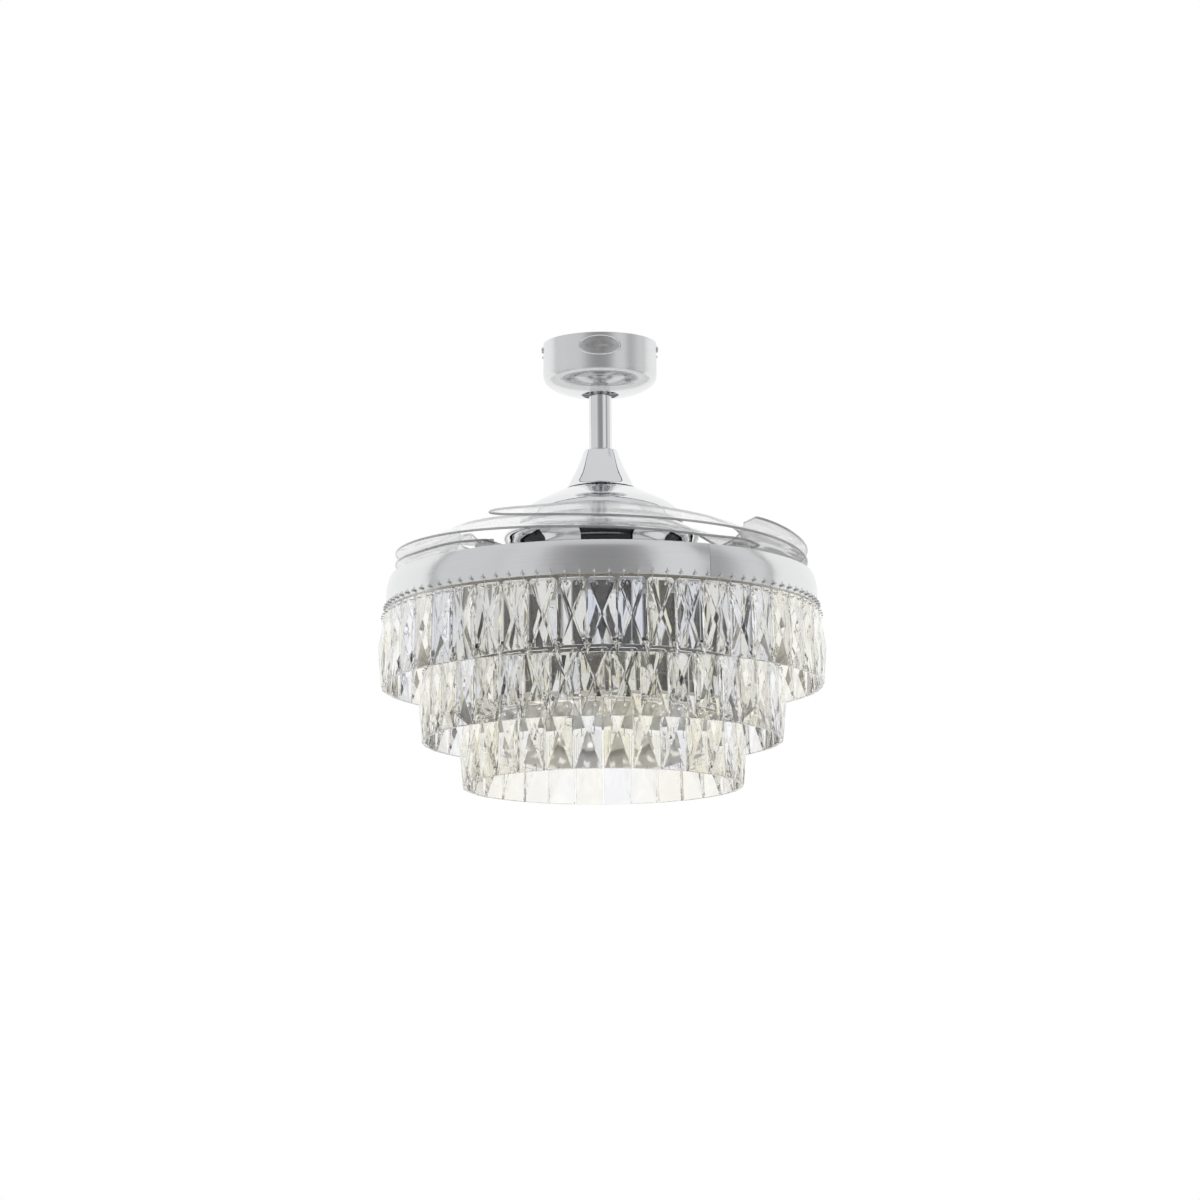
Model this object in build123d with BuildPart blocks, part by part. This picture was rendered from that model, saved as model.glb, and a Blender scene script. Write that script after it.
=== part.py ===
from build123d import *
import math
import os

os.makedirs("parts", exist_ok=True)

# Ceiling fan with four folding clear blades over a three-tier crystal light.
# Millimetres. The ceiling face is z = 0, +Z is up, the shaft axis is Z.
# Angles are measured from +X, counter-clockwise seen from above.

# Gaps and overruns used all over
cut_overrun = 1.0
running_clearance = 0.08
seat_gap = 0.05
ball_clearance = 0.3
hole_clearance = 0.1

# Canopy against the ceiling
canopy_r = 66.2
canopy_wall = 1.2
canopy_side = 36.0
canopy_depth = 60.3
canopy_hole_r = 22.8
canopy_curve_share = (0.83, 0.65)
canopy_screw_z = -6.2
canopy_pip_z = -15.0
canopy_screw_r = 1.9
canopy_screw_head_r = 3.8
canopy_screw_head_t = 2.2
canopy_pip_r = 1.3

# Blank oval plate on the front of the canopy
badge_width = 51.0
badge_height = 24.0
badge_z = -15.6
badge_plate_t = 0.8
badge_border_t = 0.9
badge_border_width = 2.2

# Mounting bracket inside the canopy
bracket_t = 2.0
bracket_half_length = 61.0
bracket_width = 38.0
bracket_arm_width = 54.0
bracket_arm_reach = 57.0
bracket_slot_spacing = 88.9
bracket_slot_length = 12.0
bracket_slot_r = 2.3
bracket_tab_width = 20.0
bracket_tab_drop = 22.0
bracket_leg_x = 30.0
seat_ring_r = 31.0
seat_low_drop = 16.0
seat_high_drop = 2.0
receiver_depth = 22.0
receiver_width = 50.0
receiver_inner_y = 27.0
terminal_width = 30.0
terminal_depth = 12.0
terminal_length = 16.0
terminal_screw_r = 2.0

# Hanger ball and its liner
ball_z = -36.5
ball_r = 24.0
ball_top = 16.0
ball_bottom = 18.0
liner_t = 1.2
liner_low_drop = 15.0
liner_high_drop = 3.0
hanger_pin_r = 2.5
hanger_pin_half = 19.0
hanger_pin_rise = 8.0

# Down rod, 3/4 in nominal pipe
rod_r = 13.35
rod_wall = 2.1
rod_top_rise = 14.0
rod_low_z = -166.0

# Yoke coupling on the motor shaft
yoke_r = 19.0
yoke_top_z = -147.0
yoke_flange_top_z = -176.0
yoke_flange_t = 4.0
yoke_flange_r = 34.0
clevis_z = -157.0
clevis_r = 3.0
clevis_half = 21.5
clevis_head_r = 4.2
clevis_head_t = 2.0
clip_wire_r = 0.7
clip_inset = 1.6
clip_half = 6.0
set_screw_r = 2.5
set_screw_length = 7.0
set_screw_z = -151.5

# Yoke cover, a flared cone
yoke_cover_top_z = -126.8
yoke_cover_low_z = -172.8
yoke_cover_top_r = 20.0
yoke_cover_low_r = 41.2
yoke_cover_wall = 1.2
yoke_cover_bore_gap = 0.6
yoke_cover_flare_shares = ((0.195, 0.287), (0.51, 0.60), (0.78, 0.845))
yoke_cover_shoulder = 2.0

# Dome over the motor, fixed to the yoke coupling
dome_top_z = -173.6
dome_wall = 1.2
dome_hole_r = 19.6
dome_top_r = 41.2
dome_r = 95.5
dome_low_z = -214.0
dome_shares = ((0.165, 0.085), (0.38, 0.22), (0.63, 0.385), (0.78, 0.50), (0.94, 0.70))
dome_screw_circle_r = 28.5
dome_screw_r = 1.9
dome_screw_head_r = 3.4
dome_screw_head_t = 1.8
dome_screw_count = 4

# Hollow motor shaft and its bearings
shaft_r = 12.5
shaft_bore_r = 8.0
shaft_top_z = -169.0
shaft_low_z = -314.0
bearing_r = 23.5
bearing_height = 12.0
bearing_race_t = 3.2
bearing_groove_gap = 0.1
bearing_ball_r = 2.9
bearing_ball_count = 11

# Turning motor shell, two castings
shell_top_z = -216.5
shell_floor_t = 3.0
shell_neck_r = 95.0
shell_brow_r = 110.5
shell_brow_z = -225.8
shell_edge_r = 113.5
shell_edge_z = -230.0
shell_split_r = 109.0
shell_split_z = -238.0
shell_wall = 3.0
shell_lower_r = 95.0
shell_lower_shoulder_z = -257.0
shell_low_z = -291.5
shell_shaft_gap = 1.5
shell_hub_wall = 5.5

# Motor inside
stator_r = 84.6
stator_height = 24.0
stator_mid_z = -263.0
stator_yoke_r = 38.0
stator_tooth_width = 10.0
stator_tip_t = 6.0
stator_tip_angle = 25.0
stator_teeth = 12
coil_width = 21.0
coil_overhang = 5.0
coil_inner_r = 44.0
coil_outer_r = 74.0
magnet_t = 6.0
magnet_height = 28.0
magnet_count = 14
magnet_gap_angle = 2.0

# Blade carrier, a plate under the motor shell
carrier_t = 2.5
carrier_r = 236.0
carrier_window_inner_r = 102.0
carrier_window_outer_r = 150.0
carrier_window_angle = 50.0
carrier_screw_circle_r = 70.0
carrier_screw_r = 2.4
carrier_screw_head_r = 4.4
carrier_screw_head_t = 2.2
carrier_screw_count = 6
carrier_screw_depth = 2.4
lip_r = 161.9
lip_width = 3.4
lip_height = 4.4

# Blade pivots and the timing gears between them
blade_count = 4
first_root_angle = 54.5
pivot_r = 200.0
pivot_sweep = 4.0
stud_r = 4.0
stud_head_r = 6.2
stud_head_t = 2.5
stud_nut_r = 6.5
stud_nut_t = 3.0
gear_module = 2.0
blade_gear_teeth = 24
gear_t = 3.5
gear_lift = 0.3
gear_addendum_share = 0.8
gear_dedendum_share = 1.15
gear_tip_share = 0.62
gear_root_share = 1.75
hub_r = 15.0
blade_seat_margin = 0.5
ring_arc_before = 5.0
ring_arc_after = 28.0
keeper_r = 6.0
keeper_t = 1.2
keeper_screw_r = 1.5
keeper_head_r = 3.0
keeper_head_t = 1.6
keeper_turn = 45.0

# Return springs round the blade hubs
spring_wire_r = 0.7
spring_turns = 4
spring_pitch = 1.75
spring_gap = 0.9
spring_leg_reach = 31.0
spring_post_r = 2.0
spring_post_height = 9.0
spring_lift = 2.0
spring_turn = -60.0

# Blades, 3 mm clear sheet formed to a pitched, rising arc
blade_t = 2.8
blade_outer_r = 239.6
blade_inner_r = 163.0
blade_root_outer_r = 222.0
blade_root_inner_r = 182.0
blade_tip_r = 226.0
blade_tip_inner_r = 168.0
blade_corner_r = 7.0
blade_tip_corner_r = 16.0
blade_tip_inner_corner_r = 14.0
blade_edge_overrun = 14.0
blade_root_rise = 13.0
blade_tip_rise = 38.0
blade_pitch_slope = 0.40
# Corners of the outline: sweep from the root in degrees, radius from the axis, rounding
blade_corners = (
    (0.0, blade_root_outer_r, blade_corner_r),
    (0.0, blade_root_inner_r, blade_corner_r),
    (182.5, blade_tip_r, blade_tip_corner_r),
    (158.0, blade_tip_inner_r, blade_tip_inner_corner_r),
)
# Sweep from the root in degrees, rise of the outer edge as a share of root to tip, share of the pitch
blade_section_shares = (
    (-4.0, 0.0, 0.0),
    (8.5, 0.0, 0.0),
    (13.5, -0.05, 0.32),
    (18.5, -0.09, 0.65),
    (25.0, -0.10, 0.92),
    (35.0, -0.04, 1.0),
    (55.0, 0.065, 0.94),
    (75.0, 0.20, 0.94),
    (100.0, 0.37, 0.94),
    (125.0, 0.50, 0.98),
    (145.0, 0.61, 1.0),
    (160.0, 0.72, 0.93),
    (171.0, 0.86, 0.90),
    (187.0, 1.13, 0.90),
)
blade_screw_r = 1.5
blade_screw_head_r = 2.8
blade_screw_head_t = 1.8
blade_screw_circle_r = 10.6
blade_screw_depth = 8.0
blade_screw_count = 3

# Light drum: chrome band and the pan inside it
band_r = 249.7
band_wall = 2.5
band_top_z = -278.0
band_low_z = -317.0
band_lip_r = 1.2
band_shoulder_z = -299.0
band_shoulder_in = 4.6
band_shoulder_bow_share = 0.25
band_seam_width = 0.4
band_seam_turn = -61.0
pan_top_z = -299.0
pan_t = 1.5
pan_flange_depth = 8.0
nut_r = 18.0
nut_t = 8.0
washer_r = 21.0
washer_t = 1.6

# Light source under the pan
board_outer_r = 134.0
board_inner_r = 60.0
board_t = 1.6
led_size = 5.0
led_t = 1.0
led_rows_r = (80.0, 114.0)
leds_per_row = 24
diffuser_r = 143.0
diffuser_wall = 2.0
diffuser_depth = 20.0
diffuser_corner_r = 6.0
driver_length = 50.0
driver_width = 32.0
driver_depth = 14.0
driver_offset = 38.0

# Crystals, one prism used in all three tiers
crystal_width = 31.2
crystal_height = 84.3
crystal_edge_half = 2.2
crystal_apex_half = 7.5
crystal_corner = 3.0
crystal_hole_r = 1.8
crystal_hole_inset = 7.3
crystal_hole_drop = 4.6
tier_counts = (48, 39, 30)
crystal_hang_out = 1.0
crystal_lean = 2.1
tier_ring_r = (249.7, 202.4, 155.5)
tier_low_z = (-405.7, -469.5, -522.1)
crystal_drop = 4.4

# Pins that carry the crystals, two to each: spike and ball outside the ring, leg inside, bead in front
pin_wire_r = 0.5
pin_rise = 2.7
pin_spike = 5.0
pin_spike_gap = 0.3
pin_ball_r = 1.7
pin_bead_r = 1.1
bead_height_share = 0.8
pin_leg_gap = 0.6
pin_reach = 4.4
pin_hook_rest = 1.0
pin_hole_gap = 0.3

# Polished shells that carry tiers two and three, screwed up to the pan by an inner flange
shell_tier_wall = 1.5
shell_tier_flange = 7.0
shell_tier_hold_turn = 22.5
shell_screw_count = 8
shell_screw_r = 1.5
shell_screw_head_r = 2.6
shell_screw_head_t = 1.6


def write(piece, label):
    """Label a finished sub-part and write its STEP file."""
    piece.part.label = label
    export_step(piece.part, f"parts/{label}.step")


def tube(low, high, outer, bore=0, mode=Mode.ADD):
    """A straight tube or rod about the fan's axis, in the current part."""
    with BuildSketch(Plane.XY.offset(low)) as profile:
        Circle(outer)
        if bore:
            Circle(bore, mode=Mode.SUBTRACT)
    extrude(profile.sketch, amount=high - low, mode=mode)


def pins(plane, spots, radius, length, mode=Mode.ADD):
    """Round pins standing on a plane at the given spots."""
    with BuildSketch(plane) as profile:
        with Locations(*spots):
            Circle(radius)
    extrude(profile.sketch, amount=length, mode=mode)


def polar(radius, angle):
    """A point in the plan, from its radius and angle."""
    return (radius * math.cos(math.radians(angle)), radius * math.sin(math.radians(angle)))


def sector(inner_r, outer_r, angle):
    """A flat piece of ring about the fan's axis, centred on +X."""
    with BuildSketch() as piece:
        with BuildLine():
            inner = CenterArc((0, 0), inner_r, -angle / 2, angle)
            outer = CenterArc((0, 0), outer_r, -angle / 2, angle)
            Line(inner @ 0, outer @ 0)
            Line(inner @ 1, outer @ 1)
        make_face()
    return piece.sketch


# Canopy
def canopy_outline(inset):
    """Outer or inner wall line of the canopy, closed along the axis."""
    side_r = canopy_r - inset
    bottom_z = -canopy_depth + inset
    side_z = -canopy_side
    curve_r, curve_drop = canopy_curve_share
    middle = (side_r * curve_r, side_z + (bottom_z - side_z) * curve_drop)
    with BuildLine() as outline:
        Polyline((0, cut_overrun if inset else 0), (side_r, cut_overrun if inset else 0), (side_r, side_z))
        Spline((side_r, side_z), middle, (canopy_hole_r, bottom_z), tangents=[(0, -1), (-1, -0.12)])
        Polyline((canopy_hole_r, bottom_z), (0, bottom_z), (0, cut_overrun if inset else 0))
    make_face(outline.edges())


with BuildPart() as canopy:
    with BuildSketch(Plane.XZ):
        canopy_outline(0)
    revolve(axis=Axis.Z)
    with BuildSketch(Plane.XZ):
        canopy_outline(canopy_wall)
    revolve(axis=Axis.Z, mode=Mode.SUBTRACT)
    tube(-canopy_depth - cut_overrun, -canopy_side, canopy_hole_r - canopy_wall, mode=Mode.SUBTRACT)
    pins(
        Plane.YZ.offset(-canopy_r - cut_overrun),
        [(0, canopy_screw_z)],
        canopy_screw_r + hole_clearance,
        2 * (canopy_r + cut_overrun),
        Mode.SUBTRACT,
    )
write(canopy, "canopy")

# Blank oval plate with a raised border, curved to the canopy
with BuildPart() as canopy_badge:
    with BuildSketch(Plane.XZ.offset(canopy_r / 2)):
        with Locations((0, badge_z)):
            Ellipse(badge_width / 2, badge_height / 2)
    extrude(amount=canopy_r)
    tube(
        -canopy_side,
        0,
        canopy_r + badge_plate_t + badge_border_t,
        canopy_r + seat_gap,
        mode=Mode.INTERSECT,
    )
    with BuildSketch(Plane.XZ.offset(canopy_r / 2)):
        with Locations((0, badge_z)):
            Ellipse(badge_width / 2 - badge_border_width, badge_height / 2 - badge_border_width)
    badge_field = extrude(amount=canopy_r, mode=Mode.PRIVATE)
    badge_core = Pos(0, 0, -canopy_side / 2) * Cylinder(canopy_r + badge_plate_t, canopy_side, mode=Mode.PRIVATE)
    add(badge_field - badge_core, mode=Mode.SUBTRACT)
write(canopy_badge, "canopy_badge")

# Two screws hold the canopy to the bracket, each with a small locating pip under it
with BuildPart() as canopy_screws:
    for side in (1, -1):
        outside = Plane(origin=(side * (canopy_r + seat_gap), 0, 0), x_dir=(0, 1, 0), z_dir=(side, 0, 0))
        across = -1 if side < 0 else 1
        pins(outside, [(0, across * canopy_screw_z)], canopy_screw_head_r, canopy_screw_head_t)
        pins(outside, [(0, across * canopy_screw_z)], canopy_screw_r, bracket_half_length - canopy_r - bracket_t)
        pins(outside, [(0, across * canopy_pip_z)], canopy_pip_r, canopy_screw_head_t / 2)
    head_rims = canopy_screws.edges().filter_by(GeomType.CIRCLE).group_by(SortBy.RADIUS)[-1]
    outer_rims = [rim for rim in head_rims if abs(rim.center().X) > canopy_r + canopy_screw_head_t / 2]
    fillet(outer_rims, canopy_screw_head_t / 2)
write(canopy_screws, "canopy_screws")

# Mounting bracket: slotted plate, two legs and the open ball seat
seat_inner_r = ball_r + liner_t + 2 * ball_clearance
slot_mouth = 2 * (rod_r + 2 * hole_clearance)
with BuildPart() as mounting_bracket:
    with BuildSketch(Plane.XY.offset(-bracket_t)):
        Rectangle(2 * bracket_half_length, bracket_width)
        Rectangle(bracket_arm_width, 2 * bracket_arm_reach)
        with Locations((bracket_slot_spacing / 2, 0), (-bracket_slot_spacing / 2, 0)):
            SlotCenterToCenter(bracket_slot_length, 2 * bracket_slot_r, mode=Mode.SUBTRACT)
    extrude(amount=bracket_t)
    with BuildSketch(Plane.XY.offset(-bracket_tab_drop)):
        tab_x = bracket_half_length - bracket_t / 2
        with Locations((tab_x, 0), (-tab_x, 0)):
            Rectangle(bracket_t, bracket_tab_width)
    extrude(amount=bracket_tab_drop)
    with BuildSketch(Plane.XY.offset(ball_z - seat_low_drop)):
        leg_x = bracket_leg_x - bracket_t / 2
        with Locations((leg_x, 0), (-leg_x, 0)):
            Rectangle(bracket_t, bracket_width)
    extrude(amount=-ball_z + seat_low_drop)
    tube(ball_z - seat_low_drop, ball_z - seat_high_drop, seat_ring_r)
    with Locations((0, 0, ball_z)):
        Sphere(seat_inner_r, mode=Mode.SUBTRACT)
    with BuildSketch(Plane.XY.offset(ball_z - seat_low_drop - cut_overrun)):
        with Locations((0, seat_ring_r)):
            Rectangle(slot_mouth, 2 * seat_ring_r)
    extrude(amount=seat_low_drop + cut_overrun, mode=Mode.SUBTRACT)
    pins(
        Plane.YZ.offset(-canopy_r),
        [(0, canopy_screw_z)],
        canopy_screw_r,
        2 * canopy_r,
        Mode.SUBTRACT,
    )
write(mounting_bracket, "mounting_bracket")

# Receiver box and terminal block hang under the arms of the bracket
with BuildPart() as receiver_box:
    with BuildSketch(Plane.XY.offset(-bracket_t - receiver_depth)):
        with Locations((0, -(receiver_inner_y + bracket_arm_reach) / 2)):
            Rectangle(receiver_width, bracket_arm_reach - receiver_inner_y)
    extrude(amount=receiver_depth)
    fillet(receiver_box.edges().filter_by(Axis.Z), bracket_t)
write(receiver_box, "receiver_box")

with BuildPart() as terminal_block:
    terminal_y = bracket_arm_reach - terminal_length / 2
    with BuildSketch(Plane.XY.offset(-bracket_t - terminal_depth)):
        with Locations((0, terminal_y)):
            Rectangle(terminal_width, terminal_length)
    extrude(amount=terminal_depth)
    with BuildSketch(Plane.XY.offset(-bracket_t - terminal_depth)):
        with Locations((0, terminal_y)):
            with GridLocations(terminal_width / 3, terminal_length / 2, 3, 2):
                Circle(terminal_screw_r)
    extrude(amount=terminal_depth / 2, mode=Mode.SUBTRACT)
write(terminal_block, "terminal_block")

# Ball seat liner, a thin split spherical ring
liner_outer_r = ball_r + liner_t + ball_clearance
with BuildPart() as ball_seat_liner:
    with Locations((0, 0, ball_z)):
        Sphere(liner_outer_r)
        Sphere(ball_r + ball_clearance, mode=Mode.SUBTRACT)
    tube(ball_z - liner_low_drop, ball_z - liner_high_drop, liner_outer_r + cut_overrun, mode=Mode.INTERSECT)
    with BuildSketch(Plane.XY.offset(ball_z - ball_r)):
        with Locations((0, ball_r)):
            Rectangle(slot_mouth, 2 * ball_r)
    extrude(amount=ball_r, mode=Mode.SUBTRACT)
write(ball_seat_liner, "ball_seat_liner")

# Hanger ball, pin and down rod
hanger_pin_z = ball_z + hanger_pin_rise
pin_plane = Plane(origin=(-hanger_pin_half, 0, 0), x_dir=(0, 1, 0), z_dir=(1, 0, 0))
with BuildPart() as hanger_ball:
    with Locations((0, 0, ball_z)):
        Sphere(ball_r)
    tube(ball_z - ball_bottom, ball_z + ball_top, ball_r + cut_overrun, mode=Mode.INTERSECT)
    tube(ball_z - ball_r, ball_z + ball_r, rod_r + seat_gap, mode=Mode.SUBTRACT)
    pins(pin_plane, [(0, hanger_pin_z)], hanger_pin_r + seat_gap, 2 * hanger_pin_half, Mode.SUBTRACT)
write(hanger_ball, "hanger_ball")

with BuildPart() as hanger_pin:
    pins(pin_plane, [(0, hanger_pin_z)], hanger_pin_r, 2 * hanger_pin_half)
    chamfer(hanger_pin.edges().filter_by(GeomType.CIRCLE), hanger_pin_r / 4)
write(hanger_pin, "hanger_pin")

clevis_plane = Plane(origin=(-clevis_half, 0, 0), x_dir=(0, 1, 0), z_dir=(1, 0, 0))
with BuildPart() as down_rod:
    tube(rod_low_z, ball_z + rod_top_rise, rod_r, rod_r - rod_wall)
    pins(pin_plane, [(0, hanger_pin_z)], hanger_pin_r + seat_gap, 2 * hanger_pin_half, Mode.SUBTRACT)
    pins(clevis_plane, [(0, clevis_z)], clevis_r + seat_gap, 2 * clevis_half, Mode.SUBTRACT)
write(down_rod, "down_rod")

# Yoke coupling joins the rod to the motor shaft
yoke_flange_low_z = yoke_flange_top_z - yoke_flange_t
set_screw_plane = Plane(origin=(0, rod_r + seat_gap, 0), x_dir=(-1, 0, 0), z_dir=(0, 1, 0))
with BuildPart() as yoke_coupling:
    tube(yoke_flange_top_z, yoke_top_z, yoke_r)
    tube(yoke_flange_low_z, yoke_flange_top_z, yoke_flange_r)
    tube(rod_low_z, yoke_top_z + cut_overrun, rod_r + seat_gap, mode=Mode.SUBTRACT)
    tube(yoke_flange_low_z - cut_overrun, rod_low_z, shaft_r + seat_gap, mode=Mode.SUBTRACT)
    pins(clevis_plane, [(0, clevis_z)], clevis_r + seat_gap, 2 * clevis_half, Mode.SUBTRACT)
    pins(set_screw_plane, [(0, set_screw_z)], set_screw_r, yoke_r, Mode.SUBTRACT)
    with BuildSketch(Plane.XY.offset(yoke_flange_low_z - cut_overrun)):
        with PolarLocations(dome_screw_circle_r, dome_screw_count):
            Circle(dome_screw_r)
    extrude(amount=yoke_flange_t + 2 * cut_overrun, mode=Mode.SUBTRACT)
write(yoke_coupling, "yoke_coupling")

with BuildPart() as clevis_pin:
    pins(clevis_plane, [(0, clevis_z)], clevis_r, 2 * clevis_half)
    pins(clevis_plane, [(0, clevis_z)], clevis_head_r, -clevis_head_t)
    clip_x = clevis_half - clip_inset
    with BuildSketch(Plane.XY.offset(clevis_z - clip_half)):
        with Locations((clip_x, 0)):
            Circle(clip_wire_r + seat_gap)
    extrude(amount=2 * clip_half, mode=Mode.SUBTRACT)
write(clevis_pin, "clevis_pin")

# Hairpin clip: one straight leg through the pin, one bent round it
with BuildPart() as cotter_clip:
    clip_bow = clevis_r + clip_wire_r + seat_gap
    clip_top = (clip_x, 0, clevis_z + clip_half)
    with BuildLine() as clip_path:
        Line((clip_x, 0, clevis_z - clip_half), clip_top)
        ThreePointArc(clip_top, (clip_x, clip_bow / 2, clip_top[2] + clip_bow / 2), (clip_x, clip_bow, clip_top[2]))
        Line((clip_x, clip_bow, clip_top[2]), (clip_x, clip_bow, clevis_z - clip_half / 2))
    with BuildSketch(Plane(origin=(clip_x, 0, clevis_z - clip_half), z_dir=(0, 0, 1))):
        Circle(clip_wire_r)
    sweep(path=clip_path.wires()[0])
write(cotter_clip, "cotter_clip")

with BuildPart() as yoke_set_screw:
    pins(set_screw_plane, [(0, set_screw_z)], set_screw_r - seat_gap, set_screw_length)
write(yoke_set_screw, "yoke_set_screw")


# Yoke cover
def yoke_cover_outline(inset):
    """Flared cone, from its rounded shoulder at the rod to its foot on the dome."""
    height = yoke_cover_top_z - yoke_cover_low_z
    spread = yoke_cover_low_r - yoke_cover_top_r
    top_z = yoke_cover_top_z - inset
    top_r = yoke_cover_top_r - inset
    low_z = yoke_cover_low_z - (cut_overrun if inset else 0)
    shoulder_z = top_z - yoke_cover_shoulder
    flare = [(top_r + spread * out, top_z - height * down) for out, down in yoke_cover_flare_shares]
    foot = (yoke_cover_low_r - inset, low_z)
    with BuildLine() as outline:
        Line((0, top_z), (top_r - yoke_cover_shoulder, top_z))
        RadiusArc((top_r - yoke_cover_shoulder, top_z), (top_r, shoulder_z), yoke_cover_shoulder)
        Spline((top_r, shoulder_z), *flare, foot, tangents=[(0.37, -1), (1, -0.75)])
        Polyline(foot, (0, low_z), (0, top_z))
    make_face(outline.edges())


with BuildPart() as yoke_cover:
    with BuildSketch(Plane.XZ):
        yoke_cover_outline(0)
    revolve(axis=Axis.Z)
    with BuildSketch(Plane.XZ):
        yoke_cover_outline(yoke_cover_wall)
    revolve(axis=Axis.Z, mode=Mode.SUBTRACT)
    tube(
        yoke_cover_low_z - cut_overrun,
        yoke_cover_top_z + cut_overrun,
        rod_r + yoke_cover_bore_gap,
        mode=Mode.SUBTRACT,
    )
write(yoke_cover, "yoke_cover")


# Dome over the motor
def dome_outline(inset):
    """Dome wall line from the flat top to the straight lower edge."""
    height = dome_top_z - dome_low_z
    spread = dome_r - dome_top_r
    top_z = dome_top_z - inset
    low_z = dome_low_z - (cut_overrun if inset else 0)
    curve = [(dome_top_r - inset + spread * out, top_z - height * down) for out, down in dome_shares]
    foot = (dome_r - inset, low_z)
    with BuildLine() as outline:
        Line((0, top_z), (dome_top_r - inset, top_z))
        Spline((dome_top_r - inset, top_z), *curve, foot, tangents=[(1, -0.35), (0, -1)])
        Polyline(foot, (0, low_z), (0, top_z))
    make_face(outline.edges())


with BuildPart() as dome_cover:
    with BuildSketch(Plane.XZ):
        dome_outline(0)
    revolve(axis=Axis.Z)
    with BuildSketch(Plane.XZ):
        dome_outline(dome_wall)
    revolve(axis=Axis.Z, mode=Mode.SUBTRACT)
    tube(dome_top_z - dome_wall, dome_top_z + cut_overrun, dome_hole_r, mode=Mode.SUBTRACT)
    tube(yoke_flange_top_z, dome_top_z - dome_wall, yoke_flange_r, dome_hole_r)
    with BuildSketch(Plane.XY.offset(yoke_flange_top_z - cut_overrun)):
        with PolarLocations(dome_screw_circle_r, dome_screw_count):
            Circle(dome_screw_r + hole_clearance)
    extrude(amount=dome_top_z - yoke_flange_top_z + 2 * cut_overrun, mode=Mode.SUBTRACT)
write(dome_cover, "dome_cover")

with BuildPart() as dome_screws:
    with BuildSketch(Plane.XY.offset(dome_top_z)):
        with PolarLocations(dome_screw_circle_r, dome_screw_count):
            Circle(dome_screw_head_r)
    extrude(amount=dome_screw_head_t)
    with BuildSketch(Plane.XY.offset(yoke_flange_low_z)):
        with PolarLocations(dome_screw_circle_r, dome_screw_count):
            Circle(dome_screw_r - seat_gap)
    extrude(amount=dome_top_z - yoke_flange_low_z)
write(dome_screws, "dome_screws")

# Hollow shaft, fixed, with the wiring way through it
with BuildPart() as motor_shaft:
    tube(shaft_low_z, shaft_top_z, shaft_r, shaft_bore_r)
    chamfer(motor_shaft.edges().filter_by(GeomType.CIRCLE).group_by(SortBy.RADIUS)[-1], hole_clearance * 8)
write(motor_shaft, "motor_shaft")

# Ball bearings: inner races and balls stay with the shaft, outer races turn
shell_inner_top_z = shell_top_z - shell_floor_t
shell_inner_low_z = shell_low_z + shell_floor_t
bearing_low_zs = (shell_inner_top_z - bearing_height, shell_inner_low_z)
bearing_mid_r = (shaft_r + bearing_r) / 2
groove_r = bearing_ball_r + bearing_groove_gap


def ball_groove(low):
    """Groove for the balls, cut into the races of one bearing."""
    with BuildSketch(Plane.XZ) as groove:
        with Locations((bearing_mid_r, low + bearing_height / 2)):
            Circle(groove_r)
    revolve(groove.sketch, axis=Axis.Z, mode=Mode.SUBTRACT)


with BuildPart() as bearing_inner_races:
    for low in bearing_low_zs:
        tube(low, low + bearing_height, shaft_r + bearing_race_t, shaft_r + seat_gap)
        ball_groove(low)
write(bearing_inner_races, "bearing_inner_races")

with BuildPart() as bearing_outer_races:
    for low in bearing_low_zs:
        tube(low, low + bearing_height, bearing_r, bearing_r - bearing_race_t)
        ball_groove(low)
write(bearing_outer_races, "bearing_outer_races")

with BuildPart() as bearing_balls:
    for low in bearing_low_zs:
        with Locations((0, 0, low + bearing_height / 2)):
            with PolarLocations(bearing_mid_r, bearing_ball_count):
                Sphere(bearing_ball_r)
write(bearing_balls, "bearing_balls")

# Turning motor shell, upper casting with the flared chrome edge
hub_bore_r = bearing_r + seat_gap
shaft_hole_r = shaft_r + shell_shaft_gap
with BuildPart() as motor_shell_upper:
    with BuildSketch(Plane.XZ):
        with BuildLine():
            Polyline((shaft_hole_r, shell_top_z), (shell_neck_r, shell_top_z), (shell_brow_r, shell_brow_z))
            Spline(
                (shell_brow_r, shell_brow_z),
                (shell_edge_r, shell_edge_z),
                (shell_split_r, shell_split_z),
                tangents=[(1, -0.55), (-0.8, -1)],
            )
            Polyline((shell_split_r, shell_split_z), (shell_split_r - 2 * shell_wall, shell_split_z))
            Spline(
                (shell_split_r - 2 * shell_wall, shell_split_z),
                (shell_edge_r - shell_wall, shell_edge_z),
                (shell_brow_r - shell_wall, shell_brow_z - shell_wall),
                tangents=[(1, 1.2), (-1, 0.55)],
            )
            Polyline(
                (shell_brow_r - shell_wall, shell_brow_z - shell_wall),
                (shell_neck_r - shell_wall, shell_inner_top_z),
                (shaft_hole_r, shell_inner_top_z),
                (shaft_hole_r, shell_top_z),
            )
        make_face()
    revolve(axis=Axis.Z)
    tube(bearing_low_zs[0], shell_inner_top_z, hub_bore_r + shell_hub_wall, hub_bore_r)
write(motor_shell_upper, "motor_shell_upper")

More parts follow.
